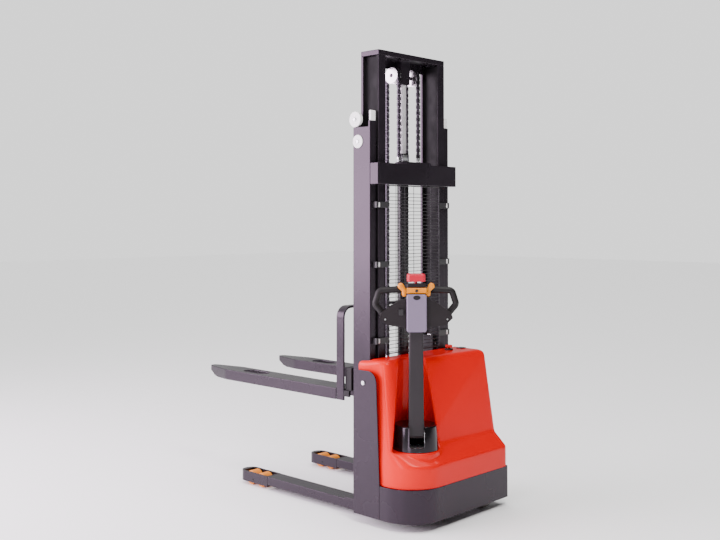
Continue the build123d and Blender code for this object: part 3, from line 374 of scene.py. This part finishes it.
# ---- mast guard ------------------------------------------------------------
# A mesh of spot-welded wire in an edge frame keeps hands out of the mast.
# Round wires run across it a finger apart, over a few uprights.
guard_low, guard_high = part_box("mast_guard")
guard_paint = coat("guard_wire_paint", (0.020, 0.019, 0.021), (0.032, 0.030, 0.033), 0.3, 0.42, 6.0,
                   500.0, 0.0003)
wire = 0.0016
edge_wire = 0.003
pitch_z = 0.019
guard_mid_x = (guard_low.x + guard_high.x) / 2
rungs = int((guard_high.z - guard_low.z - 0.02) / pitch_z)
rung = rod_start("rung", (guard_mid_x, guard_low.y + 0.004, guard_low.z + 0.012),
                 (guard_mid_x, guard_high.y - 0.004, guard_low.z + 0.012), wire, 8)
ladder = rung.modifiers.new("rungs", "ARRAY")
ladder.count = rungs
ladder.use_relative_offset = False
ladder.use_constant_offset = True
ladder.constant_offset_displace = (0, 0, pitch_z)
apply_modifiers(rung)
wires = [rung]
uprights = 7
for index in range(uprights):
    y = guard_low.y + 0.006 + (guard_high.y - guard_low.y - 0.012) * index / (uprights - 1)
    thick = edge_wire if index in (0, uprights - 1) else wire
    wires.append(rod_start("upright", (guard_mid_x - 0.0004, y, guard_low.z + 0.002),
                           (guard_mid_x - 0.0004, y, guard_high.z - 0.002), thick, 10))
for z in (guard_low.z + 0.004, guard_high.z - 0.004):
    wires.append(rod_start("edge_wire", (guard_mid_x, guard_low.y + edge_wire, z),
                           (guard_mid_x, guard_high.y - edge_wire, z), edge_wire, 10))
guard = join("mast_guard_mesh", wires)
smooth(guard, 50)
hand_over(guard, "chassis", slot_of["mast_guard"], guard_paint, "mast_guard")
weldment("guard_straps", "guard_clips", "chassis", guard_paint, 0.0008)
clip_low, clip_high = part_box("guard_clips")
screws = []
strap_heights = (0.920, 1.317, 1.630)
screw_inset = 0.022
for z in strap_heights:
    for y in (clip_low.y + screw_inset, clip_high.y - screw_inset):
        screw = box_start("strap_screw", (clip_low.x - 0.0015, y - 0.0045, z - 0.012),
                          (clip_low.x + 0.002, y + 0.0045, z + 0.012))
        soften(screw, 0.001, 2)
        screws.append(screw)
fixings = join("strap_screws", screws)
smooth(fixings, 40)
hand_over(fixings, "chassis", slot_of["guard_clips"], nylon)

# ---- lift cylinder and rod -------------------------------------------------
# The single central cylinder is painted black, with a gland nut at its head
# and a bleed screw; the rod is hard chrome.
barrel_paint = coat("cylinder_paint", (0.012, 0.011, 0.013), (0.022, 0.020, 0.023), 0.12, 0.22, 4.0,
                    300.0, 0.0003)
chrome = coat("hard_chrome", (0.70, 0.68, 0.71), (0.80, 0.78, 0.81), 0.14, 0.22, 12.0,
              900.0, 0.0001, metallic=0.4)
weldment("lift_barrel", "lift_cylinder", "chassis", barrel_paint, 0.002)
weldment("chromed_rod", "lift_rod", "inner_mast", chrome, 0.001)
barrel_low, barrel_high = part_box("lift_cylinder")
barrel_x = (barrel_low.x + barrel_high.x) / 2
gland = rod_start("gland_nut", (barrel_x, 0, barrel_high.z - 0.045),
                  (barrel_x, 0, barrel_high.z - 0.008), 0.0345, 8)
edit(gland)
bpy.ops.mesh.select_mode(type="FACE")
bpy.ops.mesh.select_all(action="DESELECT")
close_edit()
for face in gland.data.polygons:
    face.select = face.normal.z > 0.9
bpy.ops.object.mode_set(mode="EDIT")
bpy.ops.mesh.select_mode(type="FACE")
bpy.ops.mesh.inset(thickness=0.004)
bpy.ops.mesh.extrude_region_move(TRANSFORM_OT_translate={"value": (0, 0, 0.005)})
close_edit()
soften(gland, 0.0012)
smooth(gland)
hand_over(gland, "chassis", slot_of["lift_cylinder"], zinc)

# ---- lifting mast ----------------------------------------------------------
# Two I sections telescope inside the channels and carry a head plate, a tie and
# the crosshead of the cylinder, welded and sprayed with the rest.
lifting = weldment("lifting_rails", "inner_mast_rails", "inner_mast", charcoal, 0.003, 3)
lifting_low, lifting_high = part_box("inner_mast_rails")
front_flange = 0.017
# The recessed web faces of the I sections take the painted shade.
paint_recess_shade(lifting, lambda side, normal, centre:
       lifting_low.x + flange_skin < centre.x < lifting_high.x - front_flange)
weldment("lifting_ties", "inner_cross_members", "inner_mast", charcoal, 0.003, 3)
weldment("chain_anchors", "chain_anchors_mast", "chassis", zinc, 0.0008)
weldment("carriage_chain_anchors", "carriage_anchors", "carriage", zinc, 0.0008)
sheave_steel = coat("machined_steel", (0.50, 0.49, 0.50), (0.66, 0.65, 0.66), 0.2, 0.35, 18.0,
                    500.0, 0.0002, metallic=1.0)
weldment("chain_sheaves", "chain_pulleys", "chain_pulleys", sheave_steel, 0.0015)
for name in ("inner_mast_rollers", "outer_mast_rollers", "carriage_rollers_low", "carriage_rollers_high"):
    weldment(name + "_turned", name, name, sheave_steel, 0.002)

# ---- leaf chains -----------------------------------------------------------
# Two leaf chains run from the cross-member over the sheaves to the carriage.
# Waisted steel plates are stacked on riveted pins, oiled and almost black.
chain_oil = coat("oiled_chain", (0.030, 0.026, 0.034), (0.085, 0.075, 0.090), 0.2, 0.38, 60.0,
                 700.0, 0.0002, metallic=0.85)
link_pitch = 0.0159
plate_wide = 0.0115
half_plate = 0.0022
three_lanes = (-0.0105, 0.0, 0.0105)
two_lanes = (-0.0055, 0.0055)
sheave_low, sheave_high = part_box("chain_pulleys")
sheave_x = (sheave_low.x + sheave_high.x) / 2
sheave_z = (sheave_low.z + sheave_high.z) / 2
chain_y = 0.080
chain_radius = 0.042


def link_pair(name, x, z):
    """One pitch of chain: three plates one way, two the next, on a pin."""
    parts = []
    for step, lanes in ((0.0, three_lanes), (link_pitch, two_lanes)):
        for lane in lanes:
            low = (x - plate_wide / 2, lane - half_plate, z + step - 0.0105)
            high = (x + plate_wide / 2, lane + half_plate, z + step + 0.0105)
            plate = box_start("plate", low, high)
            edit(plate)
            bpy.ops.mesh.subdivide(number_cuts=1)
            bpy.ops.mesh.select_all(action="DESELECT")
            close_edit()
            for vertex in plate.data.vertices:
                vertex.select = abs(vertex.co.z - z - step) < 0.001
            bpy.ops.object.mode_set(mode="EDIT")
            bpy.ops.transform.resize(value=(0.72, 1.0, 1.0))
            close_edit()
            parts.append(plate)
    for step in (-0.008, 0.008):
        parts.append(rod_start("pin", (x, -0.0132, z + step + link_pitch / 2),
                               (x, 0.0132, z + step + link_pitch / 2), 0.0026, 8))
    return join(name, parts)


def chain_run(name, x, z0, z1):
    pair = link_pair(name, x, z0 + 0.011)
    count = max(1, int((z1 - z0) / (2 * link_pitch)))
    run = pair.modifiers.new("links", "ARRAY")
    run.count = count
    run.use_relative_offset = False
    run.use_constant_offset = True
    run.constant_offset_displace = (0, 0, (z1 - z0 - 0.002) / count)
    apply_modifiers(pair)
    pair.data.transform(Matrix.Translation((0, chain_y, 0)))
    twin = copy_by(pair, (0, -2 * chain_y, 0))
    both = join(name, [pair, twin])
    smooth(both, 35)
    return both


for name, other in (("chains_rear", "chassis"), ("chains_front", "carriage")):
    low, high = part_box(name)
    run = chain_run(name + "_links", (low.x + high.x) / 2, low.z, high.z)
    run.data.materials.clear()
    run.data.materials.append(chain_oil)
    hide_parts(name)
    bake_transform(run)
over = []
turns = 8
for index in range(turns):
    angle = math.pi * (index + 0.5) / turns
    x = sheave_x - chain_radius * math.cos(angle)
    z = sheave_z + chain_radius * math.sin(angle)
    lanes = three_lanes if index % 2 else two_lanes
    for lane in lanes:
        plate = box_start("plate", (-0.0095, lane - half_plate, -plate_wide / 2 * 0.8),
                          (0.0095, lane + half_plate, plate_wide / 2 * 0.8))
        tangent = Matrix.Rotation(angle - math.pi / 2, 4, "Y")
        plate.data.transform(Matrix.Translation((x, chain_y, z)) @ tangent)
        over.append(plate)
wrap = join("chain_over_sheaves", over)
soften(wrap, 0.0012)
wrap = join("chain_over_sheaves", [wrap, copy_by(wrap, (0, -2 * chain_y, 0))])
smooth(wrap)
hand_over(wrap, "inner_mast", slot_of["chain_wraps"], chain_oil, "chain_wraps")

# ---- carriage, load backrest and forks -------------------------------------
# The carriage block and the bent flat-bar backrest are welded steel; the forks
# are formed channels welded to them, with rounded, tapered tips.
# A darker, duller copy of the charcoal: painted shade for the carriage block and the rockers, which sit in
# shadow.
painted_shade_steel = coat("charcoal_painted_shade", (0.006, 0.005, 0.006), (0.012, 0.010, 0.012), 0.4, 0.6, 9.0,
                   300.0, 0.0006, shine=0.2)
weldment("carriage", "carriage_frame", "carriage", painted_shade_steel, 0.003, 3)
weldment("backrest_bar", "load_backrest", "carriage", charcoal, 0.0035, 3)
weldment("left_fork", "fork_left", "carriage", charcoal, 0.004, 3)
weldment("right_fork", "fork_right", "carriage", charcoal, 0.004, 3)

# ---- support legs and load rollers -----------------------------------------
# Inverted channels run forward on the floor and end in round toes.
# Each toe holds a rocker with two orange polyurethane rollers on steel hubs.
weldment("leg_channels", "support_legs", "chassis", charcoal, 0.003, 3)
weldment("roller_toes", "leg_toes", "chassis", charcoal, 0.002, 2, clamp=True)
urethane = coat("orange_urethane", (0.66, 0.19, 0.006), (0.78, 0.26, 0.012), 0.32, 0.48, 14.0,
                350.0, 0.0004, shine=0.35)
for side in ("left", "right"):
    # The rockers take the same darker copy of the charcoal, painted shade.
    weldment("rocker_" + side, "bogie_" + side, "bogie_" + side, painted_shade_steel, 0.0008, clamp=True)
    for end in ("front", "rear"):
        node = "load_roller_" + end + "_" + side
        weldment("tread_" + end + "_" + side, node, node, urethane, 0.0015)

# ---- chassis plates and skirt ----------------------------------------------
# Flat cheeks stand beside the mast foot and a bent skirt closes the rear.
# Both are folded plate in the same charcoal, the cheeks bolted through the hood.
weldment("side_cheeks", "side_plates", "chassis", charcoal, 0.002, 3)
weldment("rear_skirt_plate", "rear_skirt", "chassis", charcoal, 0.002, 2)
weldment("cheek_bolts", "side_plate_bolts", "chassis", zinc, 0.0015)
weldment("chassis_floor", "chassis_frame", "chassis", charcoal, 0.002, 2)

# ---- hood ------------------------------------------------------------------
# One vacuum-formed cover in glossy red plastic, with a deep apron at its foot
# and a tapering niche for the tiller; its edges are all generously rounded.
hood_low, hood_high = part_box("rear_hood")
hood_red = coat("red_moulding", (0.62, 0.0012, 0.0010), (0.70, 0.0022, 0.0016), 0.20, 0.28, 2.0,
                160.0, 0.0003, shine=0.26, shine_tint=(1.0, 0.60, 0.55))
turret_axis = Vector((mast_x - 0.200, 0.200, 0.0))
tiller_turn = math.radians(-45)
tiller_place = Matrix.Translation(turret_axis) @ Matrix.Rotation(tiller_turn, 4, "Z")
hood_front = mast_x - 0.030
hood_half = 0.385
cut_room = 0.03
swell_from = -0.100
right_corner = 0.028


def plan_ring(name, z, half, reach, left_corner, swell, right_radius, left_half=None):
    """The hood's outline at one height: straight, then swelling out to the right rear corner."""
    clear_selection()
    rear = mast_x - reach
    left_y = half if left_half is None else left_half
    bpy.ops.mesh.primitive_plane_add(size=1.0, location=((hood_front + rear) / 2, 0, z))
    ring = bpy.context.object
    ring.name = name
    ring.scale = (hood_front - rear, half + left_y, 1)
    bpy.ops.object.transform_apply(location=True, rotation=True, scale=True)
    ring.data.transform(Matrix.Translation((0, (left_y - half) / 2, 0)))
    edit(ring)
    bpy.ops.mesh.bisect(plane_co=(0, swell_from, z), plane_no=(0, 1, 0))
    bpy.ops.mesh.select_all(action="DESELECT")
    close_edit()
    for vertex in ring.data.vertices:
        vertex.select = vertex.co.x < rear + 0.001 and vertex.co.y < -half + 0.001
    bpy.ops.object.mode_set(mode="EDIT")
    bpy.ops.transform.translate(value=(-swell, 0, 0))
    bpy.ops.mesh.select_all(action="SELECT")
    bpy.ops.mesh.dissolve_limited(angle_limit=math.radians(0.05))
    bpy.ops.mesh.select_all(action="DESELECT")
    close_edit()
    corners = [(swell_from, rear, 0.10, 6), (-half, rear - swell, right_radius, 8)]
    if left_corner:
        corners.append((left_y, rear, left_corner, 16))
    for y, x, radius, steps in corners:
        for vertex in ring.data.vertices:
            vertex.select = abs(vertex.co.x - x) < 0.0005 and abs(vertex.co.y - y) < 0.0005
        bpy.ops.object.mode_set(mode="EDIT")
        bpy.ops.mesh.select_mode(type="VERT")
        bpy.ops.mesh.bevel(offset=radius, segments=steps, affect="VERTICES")
        bpy.ops.mesh.select_all(action="DESELECT")
        close_edit()
    return ring


def loft(name, rings):
    """The solid between outlines, one above the other."""
    solid = join(name, rings)
    edit(solid)
    bpy.ops.mesh.convex_hull()
    close_edit()
    return solid


def flank_ring(name, z, half, reach, corner):
    """Outline of the hood left of the turret, with its rounded rear corner."""
    rear = mast_x - reach
    ring = box_start(name, (rear, turret_axis.y - 0.02, z), (hood_front, half, z + 0.0001))
    for vertex in ring.data.vertices:
        vertex.co.z = z
    edit(ring)
    bpy.ops.mesh.remove_doubles(threshold=0.0002)
    bpy.ops.mesh.select_all(action="DESELECT")
    close_edit()
    for vertex in ring.data.vertices:
        vertex.select = vertex.co.x < rear + 0.0005 and vertex.co.y > half - 0.0005
    bpy.ops.object.mode_set(mode="EDIT")
    bpy.ops.mesh.bevel(offset=corner, segments=14, affect="VERTICES")
    bpy.ops.mesh.select_all(action="DESELECT")
    close_edit()
    return ring


ledge_low = 0.322
ledge_high = 0.392
shoulder = 0.026
flank_corner = 0.045
low_plan = (hood_half, 0.357, 0.190, 0.003, 0.020)
mid_plan = (hood_half - 0.004, 0.262, 0.0, 0.030, right_corner, turret_axis.y)
top_plan = (hood_half - 0.022, 0.190, 0.0, 0.045, right_corner, turret_axis.y)
mid_flank = (hood_half - 0.004, 0.205)
top_flank = (hood_half - 0.022, 0.146)


def between(low, high, share, drawn=0.0):
    """Plan values part of the way up, drawn in by a distance for the rounded top."""
    values = [a + (b - a) * share for a, b in zip(low, high)]
    return (values[0] - drawn, values[1] - drawn, *values[2:])


upper_rings = []
flank_rings = []
top_steps = ((0.0, ledge_high, 0.0), (0.94, hood_high.z - shoulder, 0.0),
             (0.97, hood_high.z - 0.5 * shoulder, 0.0035),
             (0.99, hood_high.z - 0.15 * shoulder, 0.0120), (1.0, hood_high.z, 0.0240))
for share, z, drawn in top_steps:
    upper_rings.append(plan_ring("upper", z, *between(mid_plan, top_plan, share, drawn)))
    flank_rings.append(flank_ring("flank", z, *between(mid_flank, top_flank, share, drawn),
                                  flank_corner - drawn))
left_apron = [plan_ring("c", ledge_low, *low_plan),
              flank_ring("d", ledge_high, *mid_flank, flank_corner)]
right_apron = [plan_ring("e", ledge_low, *low_plan[:2], 0.0, *low_plan[3:], turret_axis.y),
               plan_ring("f", ledge_high, *mid_plan)]
solids = [
    loft("apron", [plan_ring("a", hood_low.z - cut_room, *low_plan), plan_ring("b", ledge_low, *low_plan)]),
    loft("left_ledge", left_apron),
    loft("right_ledge", right_apron),
    loft("upper", upper_rings),
    loft("flank", flank_rings),
]
for side in (-1, 1):
    inner_y, outer_y = sorted((side * 0.338, side * 0.381))
    nose = box_start("ear", (hood_front, inner_y, 0.700),
                     (mast_x + 0.040, outer_y, hood_high.z - 0.012))
    soften(nose, 0.016, 5)
    inner_y, outer_y = sorted((side * 0.300, side * (hood_half - 0.020)))
    root = box_start("root", (mast_x - 0.110, inner_y, 0.640),
                     (mast_x - 0.090, outer_y, hood_high.z - 0.002))
    soften(root, 0.009, 4)
    solids.append(loft("ear", [nose, root]))
hood = join("red_hood", solids)
voxel = 0.006
union = hood.modifiers.new("union", "REMESH")
union.mode = "VOXEL"
union.voxel_size = voxel
apply_modifiers(hood)
niche_foot = 0.382
niche_low_r = 0.124
niche_top_r = 0.0818
niche = rod_start("niche", (turret_axis.x, turret_axis.y, niche_foot),
                  (turret_axis.x, turret_axis.y, hood_high.z + 0.02), niche_low_r, 96, niche_top_r)
mouth = box_start("mouth", (-0.40, -niche_low_r, niche_foot), (0.0, niche_low_r, hood_high.z + 0.02))
for vertex in mouth.data.vertices:
    if vertex.co.z > hood_high.z:
        vertex.co.y *= niche_top_r / niche_low_r
mouth.data.transform(tiller_place)


def combine(piece, operation, tool):
    """Add the tool's solid to a piece or cut it away, and use the tool up."""
    step = piece.modifiers.new("step", "BOOLEAN")
    step.operation = operation
    step.object = tool
    step.solver = "EXACT"
    apply_modifiers(piece)
    bpy.data.objects.remove(tool)


combine(mouth, "UNION", niche)
combine(hood, "DIFFERENCE", mouth)
bulge = rod_start("bulge", (turret_axis.x, turret_axis.y, hood_low.z - cut_room),
                  (turret_axis.x, turret_axis.y, niche_foot), 0.126, 96)
hood = join("red_hood", [hood, bulge])
fair = hood.modifiers.new("fair", "REMESH")
fair.mode = "VOXEL"
fair.voxel_size = voxel
relax = hood.modifiers.new("relax", "SMOOTH")
relax.factor = 0.5
relax.iterations = 8
apply_modifiers(hood)
edit(hood)
bpy.ops.mesh.bisect(plane_co=(0, 0, hood_low.z), plane_no=(0, 0, 1), clear_inner=True)
close_edit()
wall = hood.modifiers.new("wall", "SOLIDIFY")
wall.thickness = 0.0035
wall.offset = -1.0
apply_modifiers(hood)
smooth(hood, 60)
hand_over(hood, "chassis", slot_of["rear_hood"], hood_red, "rear_hood")
gloss_black = coat("gloss_black_plastic", (0.003, 0.003, 0.0035), (0.006, 0.0055, 0.006), 0.08, 0.14, 5.0,
                   200.0, 0.0002, shine=0.35, shine_tint=(1.0, 0.86, 1.0))
satin_black = coat("satin_black_plastic", (0.012, 0.011, 0.012), (0.022, 0.020, 0.022), 0.34, 0.46, 8.0,
                   500.0, 0.0006)
weldment("hood_switchgear", "hood_controls", "chassis", satin_black, 0.0008, clamp=True)
knob_red = coat("red_knob", (0.58, 0.002, 0.002), (0.68, 0.004, 0.003), 0.18, 0.26, 6.0,
                300.0, 0.0002, shine=0.3)
stop_low, stop_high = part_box("stop_knob")
stop_axis = (stop_low + stop_high) / 2
stop = weldment("emergency_stop", "stop_knob", "stop_knob", knob_red, 0.003, 4, clamp=True)
narrower = Matrix.Diagonal((0.975, 0.975, 1.0, 1.0))
stop.data.transform(Matrix.Translation(stop_axis) @ narrower @ Matrix.Translation(-stop_axis))

# ---- turret and tiller arm -------------------------------------------------
# A glossy black shroud covers the steering bearing; through its open side the
# bracket and the tilting arm's pin can be seen. The arm is a welded steel box.
turret_low, turret_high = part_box("turret_shroud")
shroud = rod_start("turret_cover", (turret_axis.x, turret_axis.y, turret_low.z),
                   (turret_axis.x, turret_axis.y, turret_high.z), 0.120, 96, 0.109)
soften(shroud, 0.007, 5, math.radians(60))
edit(shroud)
bpy.ops.mesh.bisect(plane_co=(0, 0, turret_low.z + 0.0072), plane_no=(0, 0, 1), clear_inner=True)
close_edit()
for vertex in shroud.data.vertices:
    if vertex.co.z < turret_low.z + 0.0073:
        vertex.co.z = turret_low.z
wall = shroud.modifiers.new("wall", "SOLIDIFY")
wall.thickness = 0.004
wall.offset = -1.0
apply_modifiers(shroud)
window = box_start("window", (-0.135, -0.040, 0.406), (-0.010, 0.040, turret_high.z + 0.02))
soften(window, 0.012, 4)
window.data.transform(tiller_place)
combine(shroud, "DIFFERENCE", window)
smooth(shroud, 35)
hand_over(shroud, "drive_unit", slot_of["turret_shroud"], gloss_black, "turret_shroud")
weldment("tilt_bracket", "tiller_bracket", "drive_unit", zinc, 0.001)
arm_paint = coat("arm_paint", (0.012, 0.009, 0.011), (0.018, 0.014, 0.017), 0.38, 0.5, 4.0,
                 420.0, 0.0004, shine=0.35)
weldment("tiller_box_arm", "tiller_arm", "tiller", arm_paint, 0.003, 3, clamp=True)

# ---- tiller head -----------------------------------------------------------
# Black plastic halves close round the head; below the grips they spread into
# two guards. A lighter cover runs down the middle over the top of the arm.
shell_black = coat("head_plastic", (0.008, 0.0055, 0.0065), (0.013, 0.0095, 0.011), 0.42, 0.55, 10.0,
                   650.0, 0.0008, shine=0.28)
cover_grey = coat("head_cover_paint", (0.15, 0.12, 0.18), (0.19, 0.155, 0.225), 0.3, 0.42, 5.0,
                  450.0, 0.0004, shine=0.4)
grip_rubber = coat("grip_rubber", (0.006, 0.0045, 0.005), (0.011, 0.009, 0.010), 0.45, 0.6, 14.0,
                   800.0, 0.0012, shine=0.28)
signal_yellow = coat("yellow_plastic", (0.66, 0.20, 0.001), (0.76, 0.26, 0.002), 0.28, 0.38, 9.0,
                     350.0, 0.0003, shine=0.35)
belly_red = coat("belly_button_plastic", (0.42, 0.004, 0.024), (0.52, 0.008, 0.034), 0.3, 0.42, 9.0,
                 350.0, 0.0003, shine=0.3)
weldment("head_shell", "head_core", "tiller", shell_black, 0.003, 3, clamp=True)
weldment("centre_cover", "head_shield", "tiller", cover_grey, 0.004, 3)
for side in ("left", "right"):
    grip = weldment(side + "_grip", "grip_" + side, "tiller", grip_rubber, 0.002, 2, 60)
    edit(grip)
    bpy.ops.transform.shrink_fatten(value=0.003)
    close_edit()
weldment("yellow_bar", "head_bar", "tiller", signal_yellow, 0.001, 2, clamp=True)
wings_low, wings_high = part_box("speed_wings")
wings_middle = (wings_low + wings_high) / 2
across = Vector((math.sqrt(0.5), math.sqrt(0.5), 0.0))


def ball(name, centre, radius):
    clear_selection()
    bpy.ops.mesh.primitive_uv_sphere_add(segments=32, ring_count=16, radius=radius, location=centre)
    bpy.ops.object.transform_apply(location=True, rotation=True, scale=True)
    bpy.context.object.name = name
    return bpy.context.object


wings = []
for side in (-1, 1):
    out = across * side
    lobe = ball("lobe", wings_middle + out * 0.078 + Vector((0, 0, 0.019)), 0.0165)
    waist = ball("waist", wings_middle + out * 0.062 + Vector((0, 0, -0.002)), 0.0115)
    thumb = ball("thumb", wings_middle + out * 0.060 + Vector((0, 0, -0.022)), 0.0135)
    upper_twin = copy_by(waist, Vector((0, 0, 0)))
    wings.append(loft("wing", [lobe, waist]))
    wings.append(loft("wing", [upper_twin, thumb]))
butterfly = join("butterfly_wings", wings)
level = Matrix.Translation(wings_middle) @ Matrix.Rotation(tiller_turn, 4, "Z")
butterfly.data.transform(level.inverted())
thinned = Matrix.Diagonal((0.55, 1.0, 1.0, 1.0))
butterfly.data.transform(Matrix.Translation((-0.0035, 0, 0)) @ thinned)
butterfly.data.transform(level)
axle = rod_start("wing_axle", wings_middle - across * 0.062, wings_middle + across * 0.062, 0.0068, 32)
butterfly = join("butterfly_wings", [butterfly, axle])
meld = butterfly.modifiers.new("meld", "REMESH")
meld.mode = "VOXEL"
meld.voxel_size = 0.0016
ease = butterfly.modifiers.new("ease", "SMOOTH")
ease.iterations = 6
apply_modifiers(butterfly)
smooth(butterfly, 60)
hand_over(butterfly, "speed_wings", slot_of["speed_wings"], signal_yellow, "speed_wings")
weldment("belly_switch", "belly_button", "belly_button", belly_red, 0.006, 4, clamp=True)
marks = []
for y in (-0.158, 0.158):
    marks.append(rod_start("plate_screw", (-0.0695, y, 1.046), (-0.0712, y, 1.046), 0.0048, 20, 0.0038))
badge = rod_start("blank_badge", (-0.100, 0, 1.158), (-0.1018, 0, 1.158), 0.012, 40, 0.0115)
badge.data.transform(Matrix.Diagonal((1.0, 1.6, 1.0, 1.0)))
badge.data.transform(tiller_place)
smooth(badge, 40)
hand_over(badge, "tiller", slot_of["head_core"], shell_black)
plate_screws = join("plate_screws", marks)
plate_screws.data.transform(tiller_place)
smooth(plate_screws, 40)
hand_over(plate_screws, "tiller", slot_of["head_core"], zinc)
weldment("horn_push", "horn_button", "horn_button", satin_black, 0.0006, 2, clamp=True)
weldment("lift_lower_rocker", "lift_rocker", "lift_rocker", satin_black, 0.002, 2)

# ---- drive, castor and what the hood covers --------------------------------
# The drive wheel hangs from a slewing ring under the turret and the castor stands
# at the right. Battery, pump and controller fill the space between.
iron = coat("cast_iron_paint", (0.035, 0.035, 0.037), (0.055, 0.055, 0.058), 0.45, 0.6, 7.0, 250.0, 0.0012)
tyre = coat("drive_tyre_urethane", (0.045, 0.040, 0.038), (0.070, 0.062, 0.058), 0.5, 0.65, 12.0,
            300.0, 0.0008)
battery_grey = coat("battery_case", (0.10, 0.105, 0.115), (0.14, 0.145, 0.155), 0.5, 0.65, 9.0,
                    400.0, 0.0006)
alloy = coat("cast_alloy", (0.52, 0.53, 0.54), (0.66, 0.67, 0.68), 0.3, 0.45, 20.0,
             500.0, 0.0004, metallic=1.0)
for node, body, finish in (("drive_bracket", "drive_unit", iron), ("drive_motor", "drive_unit", iron),
                           ("drive_tyre", "drive_wheel", tyre), ("drive_hub", "drive_wheel", iron),
                           ("castor_fork", "castor", zinc), ("castor_wheel", "castor_wheel", tyre),
                           ("battery", "chassis", battery_grey), ("power_pack", "chassis", iron),
                           ("motor_controller", "chassis", alloy),
                           ("steering_bearing", "chassis", sheave_steel)):
    weldment(node + "_finished", node, body, finish, 0.0015, clamp=True)
